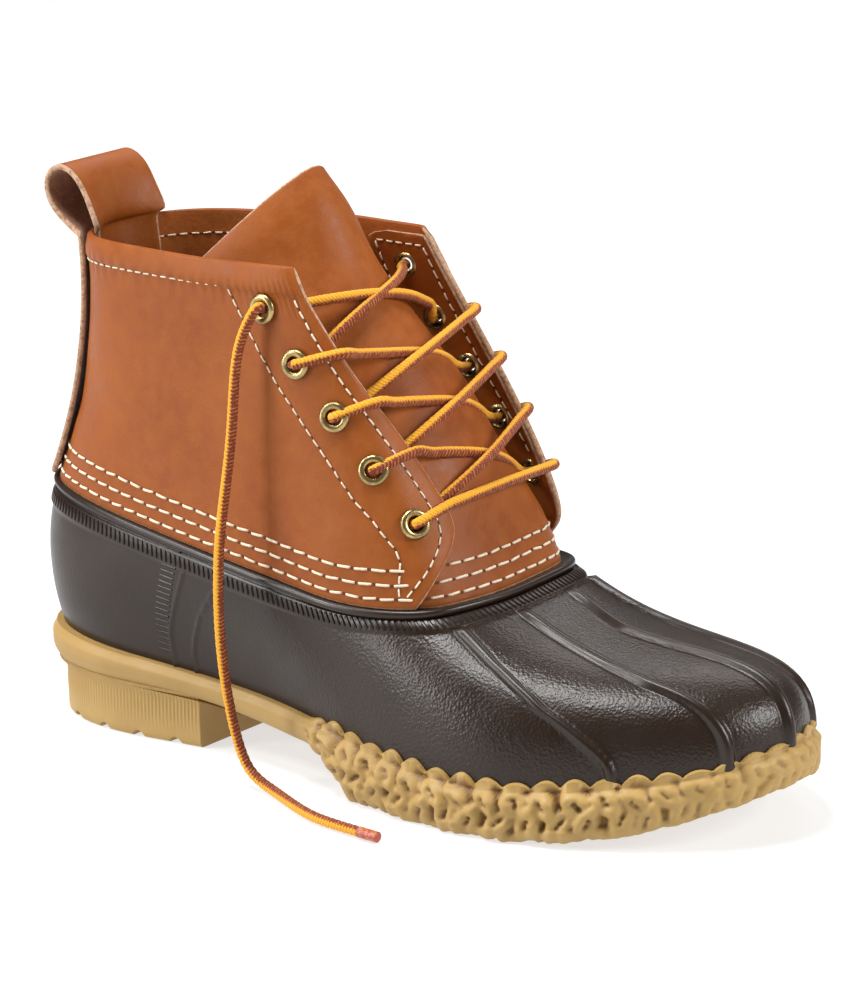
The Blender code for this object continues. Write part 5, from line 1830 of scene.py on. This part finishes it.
def strand_points(row, radius):
    near, near_out, far, far_out, arch, _ = row
    start, start_way = eyelet_end(near, True, near_out)
    end, end_way = eyelet_end(far, False, far_out)
    stops = [start - start_way * 0.0012, start + start_way * radius * 0.35]
    toward = unit(edge_point(EYELETS[near][0] + 0.03, True, 0.0) - start)
    stops.append(start + start_way * radius * 1.05 + toward * radius * 1.3)
    if near_out:
        over = edge_point(EYELETS[near][0] + 0.03, True, radius * 0.92)
        stops.append(over)
    finish_stops = []
    if far_out:
        over = edge_point(EYELETS[far][0] + 0.015, False, radius * 1.3)
        beyond = over + np.array([0.0012, -0.0022, 0.0004])
        finish_stops.append(beyond)
        finish_stops.append((over + end) / 2 + end_way * radius * 1.7)
    finish_stops += [end + end_way * radius * 1.3, end - end_way * 0.0012]
    a, b = stops[-1], finish_stops[0]
    t = np.linspace(0, 1, 12)[1:-1]
    middle = a + (b - a) * t[:, None] + np.array([0.75, 0.0, 0.5]) * (arch * np.sin(np.pi * t))[:, None]
    middle = push_off_tongue(middle, radius + (0.0040 if not near_out else 0.0003))
    line = np.array(stops + list(middle) + finish_stops)
    line = spaced(open_spline(line, np.linspace(0, len(line) - 1, 400)), STRAND_STEP)
    for _ in range(STRAND_EASING):
        line[6:-6] = (line[5:-7] + 2 * line[6:-6] + line[7:-5]) / 4
    return line


def build_lacing():
    size = sizes()
    radius = size.lace / 2
    points, faces = [], []
    marks = {"side": [], "run": []}
    start = 0
    for number, row in enumerate(STRANDS):
        line = strand_points(row, radius)
        mesh, strand_faces, strand_marks = tube(line, radius, LACE_SIDES, BRAID_PITCH, row[-1])
        points.append(mesh)
        faces += [tuple(start + i for i in f) for f in strand_faces]
        start += len(mesh)
        for key, values in strand_marks.items():
            marks[key].append(np.ravel(values) + (number * 0.37 if key == "run" else 0.0))
    marks = {key: np.concatenate(values) for key, values in marks.items()}
    piece("lacing", np.concatenate(points), faces, [finish("two_tone_braid", lace_finish)], "lace",
          ("lace_cross_1", "lace_cross_2", "lace_cross_3", "lace_cross_4", "lace_bar"), marks, sharp=80)


AGLET_LENGTH = 0.0085


def build_free_lace():
    size = sizes()
    share, near, _ = EYELETS[0]
    centre, normal = eyelet_place(near, share)
    path = [centre + normal * reach for reach in LACE_EXIT] + list(LACE_END)
    line = spaced(open_spline(path, np.linspace(0, len(path) - 1, 500)), STRAND_STEP)
    run = np.concatenate([[0], np.cumsum(np.linalg.norm(np.diff(line, axis=0), axis=1))])
    whole = float(run[-1])
    body = line[run <= whole - AGLET_LENGTH * 0.4]
    points, faces, marks = tube(body, size.lace / 2, LACE_SIDES, BRAID_PITCH, FREE_LACE_ROLL)
    braid = [finish("two_tone_braid", lace_finish)]
    lace = piece("lace_free_end", points, faces, braid, "lace", ("lace_end",), marks, sharp=80)
    tip = line[run >= whole - AGLET_LENGTH]
    aglet_points, aglet_faces, _ = tube(tip, size.lace / 2 + 0.00008, LACE_SIDES)
    made = Shading("aglet_plastic", (0.36, 0.055, 0.020), 0.35)
    worn = made.noise(0.0016, 3.0, 0.6)
    made.colour(made.mix(made.spread(worn, 0.45, 0.7), (0.32, 0.045, 0.018), (0.55, 0.20, 0.08)))
    made.bump(worn, 0.0002, 0.4)
    aglet = piece("aglet", aglet_points, aglet_faces, [made.made], "lace", sharp=50)


def finish_insole():
    """The felt insole keeps its shape and takes its fibres."""
    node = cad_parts["insole"]
    felt = finish("insole_felt", felt_finish)
    if node.data.materials:
        for slot in node.material_slots:
            slot.link = "OBJECT"
            slot.material = felt
    else:
        node.data.materials.append(felt)


# Stage

LIGHTS = (
    # name, place, aim, size, power
    ("key_light", (-1.12, -1.00, 1.50), (0.08, 0.0, 0.08), (0.46, 0.46), 22),
    ("left_light", (-1.02, -1.40, 0.52), (0.10, 0.0, 0.06), (0.42, 0.95), 17),
    ("top_light", (-0.20, -0.34, 1.95), (0.10, 0.0, 0.05), (0.85, 0.65), 36),
    ("back_light", (-0.35, 1.45, 1.50), (0.14, 0.0, 0.05), (1.4, 0.7), 9),
    ("toe_light", (1.75, 0.45, 0.95), (0.18, 0.0, 0.05), (0.8, 0.8), 30),
)
WORLD_STRENGTH = 0.20
FLOOR_SHADE = 0.34
FLOOR_GLOW = 0.66
FLOOR_REACH = 8.0


def studio_light(name, place, aim, size, power):
    light = bpy.data.lights.new(name, "AREA")
    light.shape = "RECTANGLE"
    light.size, light.size_y = size
    light.energy = power
    made = bpy.data.objects.new(name, light)
    back = unit(np.asarray(place, float) - np.asarray(aim, float))
    side = unit(np.cross([0.0, 0.0, 1.0], back))
    up = np.cross(back, side)
    turn = Matrix((side, up, back)).transposed().to_4x4()
    made.matrix_world = Matrix.Translation(place) @ turn
    bpy.context.scene.collection.objects.link(made)


def build_stage():
    scene = bpy.context.scene
    scene.view_settings.view_transform = "Standard"
    world = bpy.data.worlds.new("studio")
    scene.world = world
    world.use_nodes = True
    world.node_tree.nodes["Background"].inputs["Color"].default_value = (1.0, 1.0, 1.0, 1.0)
    world.node_tree.nodes["Background"].inputs["Strength"].default_value = WORLD_STRENGTH
    floor_material = Shading("studio_floor", (FLOOR_SHADE, FLOOR_SHADE, FLOOR_SHADE), 0.9)
    floor_material.shader.inputs["Emission Color"].default_value = (1.0, 1.0, 1.0, 1.0)
    floor_material.shader.inputs["Emission Strength"].default_value = FLOOR_GLOW
    reach = FLOOR_REACH
    corners = [(-reach, -reach, 0.0), (reach, -reach, 0.0), (reach, reach, 0.0), (-reach, reach, 0.0)]
    floor = piece("studio_floor", corners, [(0, 1, 2, 3)], [floor_material.made], "")
    for name, place, aim, size, power in LIGHTS:
        studio_light(name, place, aim, size, power)
    turn, rise, roll = (math.radians(a) for a in (CAMERA_TURN, CAMERA_RISE, CAMERA_ROLL))
    right = np.array([math.cos(turn), math.sin(turn), 0.0])
    up = np.array([-math.sin(turn) * math.sin(rise), math.cos(turn) * math.sin(rise), math.cos(rise)])
    back = np.array([math.sin(turn) * math.cos(rise), -math.cos(turn) * math.cos(rise), math.sin(rise)])
    rolled_right = math.cos(roll) * right + math.sin(roll) * up
    rolled_up = -math.sin(roll) * right + math.cos(roll) * up
    lens = bpy.data.cameras.new("photo_camera")
    lens.lens = CAMERA_LENS
    lens.sensor_width = FILM_SIDE
    lens.clip_start = 0.05
    camera = bpy.data.objects.new("photo_camera", lens)
    place = np.array(CAMERA_TARGET) + back * CAMERA_DISTANCE
    turned = Matrix((rolled_right, rolled_up, back)).transposed().to_4x4()
    camera.matrix_world = Matrix.Translation(place) @ turned
    scene.collection.objects.link(camera)
    scene.camera = camera


class BOOT_OT_stage(bpy.types.Operator):
    """Pale floor, studio light and the photograph's camera"""

    bl_idname = "boot.stage"
    bl_label = "Stage and camera"

    def execute(self, context):
        build_stage()
        return {"FINISHED"}


class BOOT_OT_rubber(bpy.types.Operator):
    """Moulded rubber upper with its ribs, band, bead and ticks"""

    bl_idname = "boot.rubber"
    bl_label = "Rubber bottom"

    def execute(self, context):
        build_rubber_upper()
        build_knurl_ticks()
        return {"FINISHED"}


class BOOT_OT_sole(bpy.types.Operator):
    """Gum sole with its chain tread and heel"""

    bl_idname = "boot.sole"
    bl_label = "Gum sole"

    def execute(self, context):
        build_gum_sole()
        build_gum_heel()
        build_chain_floor()
        return {"FINISHED"}


class BOOT_OT_leather(bpy.types.Operator):
    """Leather quarters, tongue with vamp and pull strap"""

    bl_idname = "boot.leather"
    bl_label = "Leather"

    def execute(self, context):
        build_leather_quarters()
        build_inner_facings()
        build_tongue_and_vamp()
        build_pull_strap()
        return {"FINISHED"}


class BOOT_OT_stitching(bpy.types.Operator):
    """Cream stitching above the bead, along the facings and round the collar"""

    bl_idname = "boot.stitching"
    bl_label = "Stitching"

    def execute(self, context):
        build_stitching()
        return {"FINISHED"}


class BOOT_OT_lace(bpy.types.Operator):
    """Brass eyelets, the lacing and the lace's free end"""

    bl_idname = "boot.lace"
    bl_label = "Eyelets and lace"

    def execute(self, context):
        build_brass_eyelets()
        build_lacing()
        build_free_lace()
        return {"FINISHED"}


class BOOT_OT_insole(bpy.types.Operator):
    """Felt finish of the insole"""

    bl_idname = "boot.insole"
    bl_label = "Insole"

    def execute(self, context):
        finish_insole()
        return {"FINISHED"}


class BOOT_PT_panel(bpy.types.Panel):
    """The boot's sizes, colours and building steps"""

    bl_idname = "BOOT_PT_panel"
    bl_label = "Duck boot"
    bl_space_type = "VIEW_3D"
    bl_region_type = "UI"
    bl_category = "Duck boot"

    def draw(self, context):
        for group in (context.scene.duck_boot_sizes, context.scene.duck_boot_colours):
            box = self.layout.box()
            for key in group.__annotations__:
                box.prop(group, key)
        for step in STEPS:
            self.layout.operator(step.bl_idname)


STEPS = (BOOT_OT_stage, BOOT_OT_rubber, BOOT_OT_sole, BOOT_OT_leather, BOOT_OT_stitching, BOOT_OT_lace,
         BOOT_OT_insole)
CLASSES = (BootSizes, BootColours, *STEPS, BOOT_PT_panel)


def register():
    for made in CLASSES:
        bpy.utils.register_class(made)
    bpy.types.Scene.duck_boot_sizes = PointerProperty(type=BootSizes)
    bpy.types.Scene.duck_boot_colours = PointerProperty(type=BootColours)


def unregister():
    del bpy.types.Scene.duck_boot_colours
    del bpy.types.Scene.duck_boot_sizes
    for made in reversed(CLASSES):
        bpy.utils.unregister_class(made)


def main():
    register()
    bpy.ops.boot.stage()
    bpy.ops.boot.rubber()
    bpy.ops.boot.sole()
    bpy.ops.boot.leather()
    bpy.ops.boot.stitching()
    bpy.ops.boot.lace()
    bpy.ops.boot.insole()


if __name__ == "__main__":
    main()
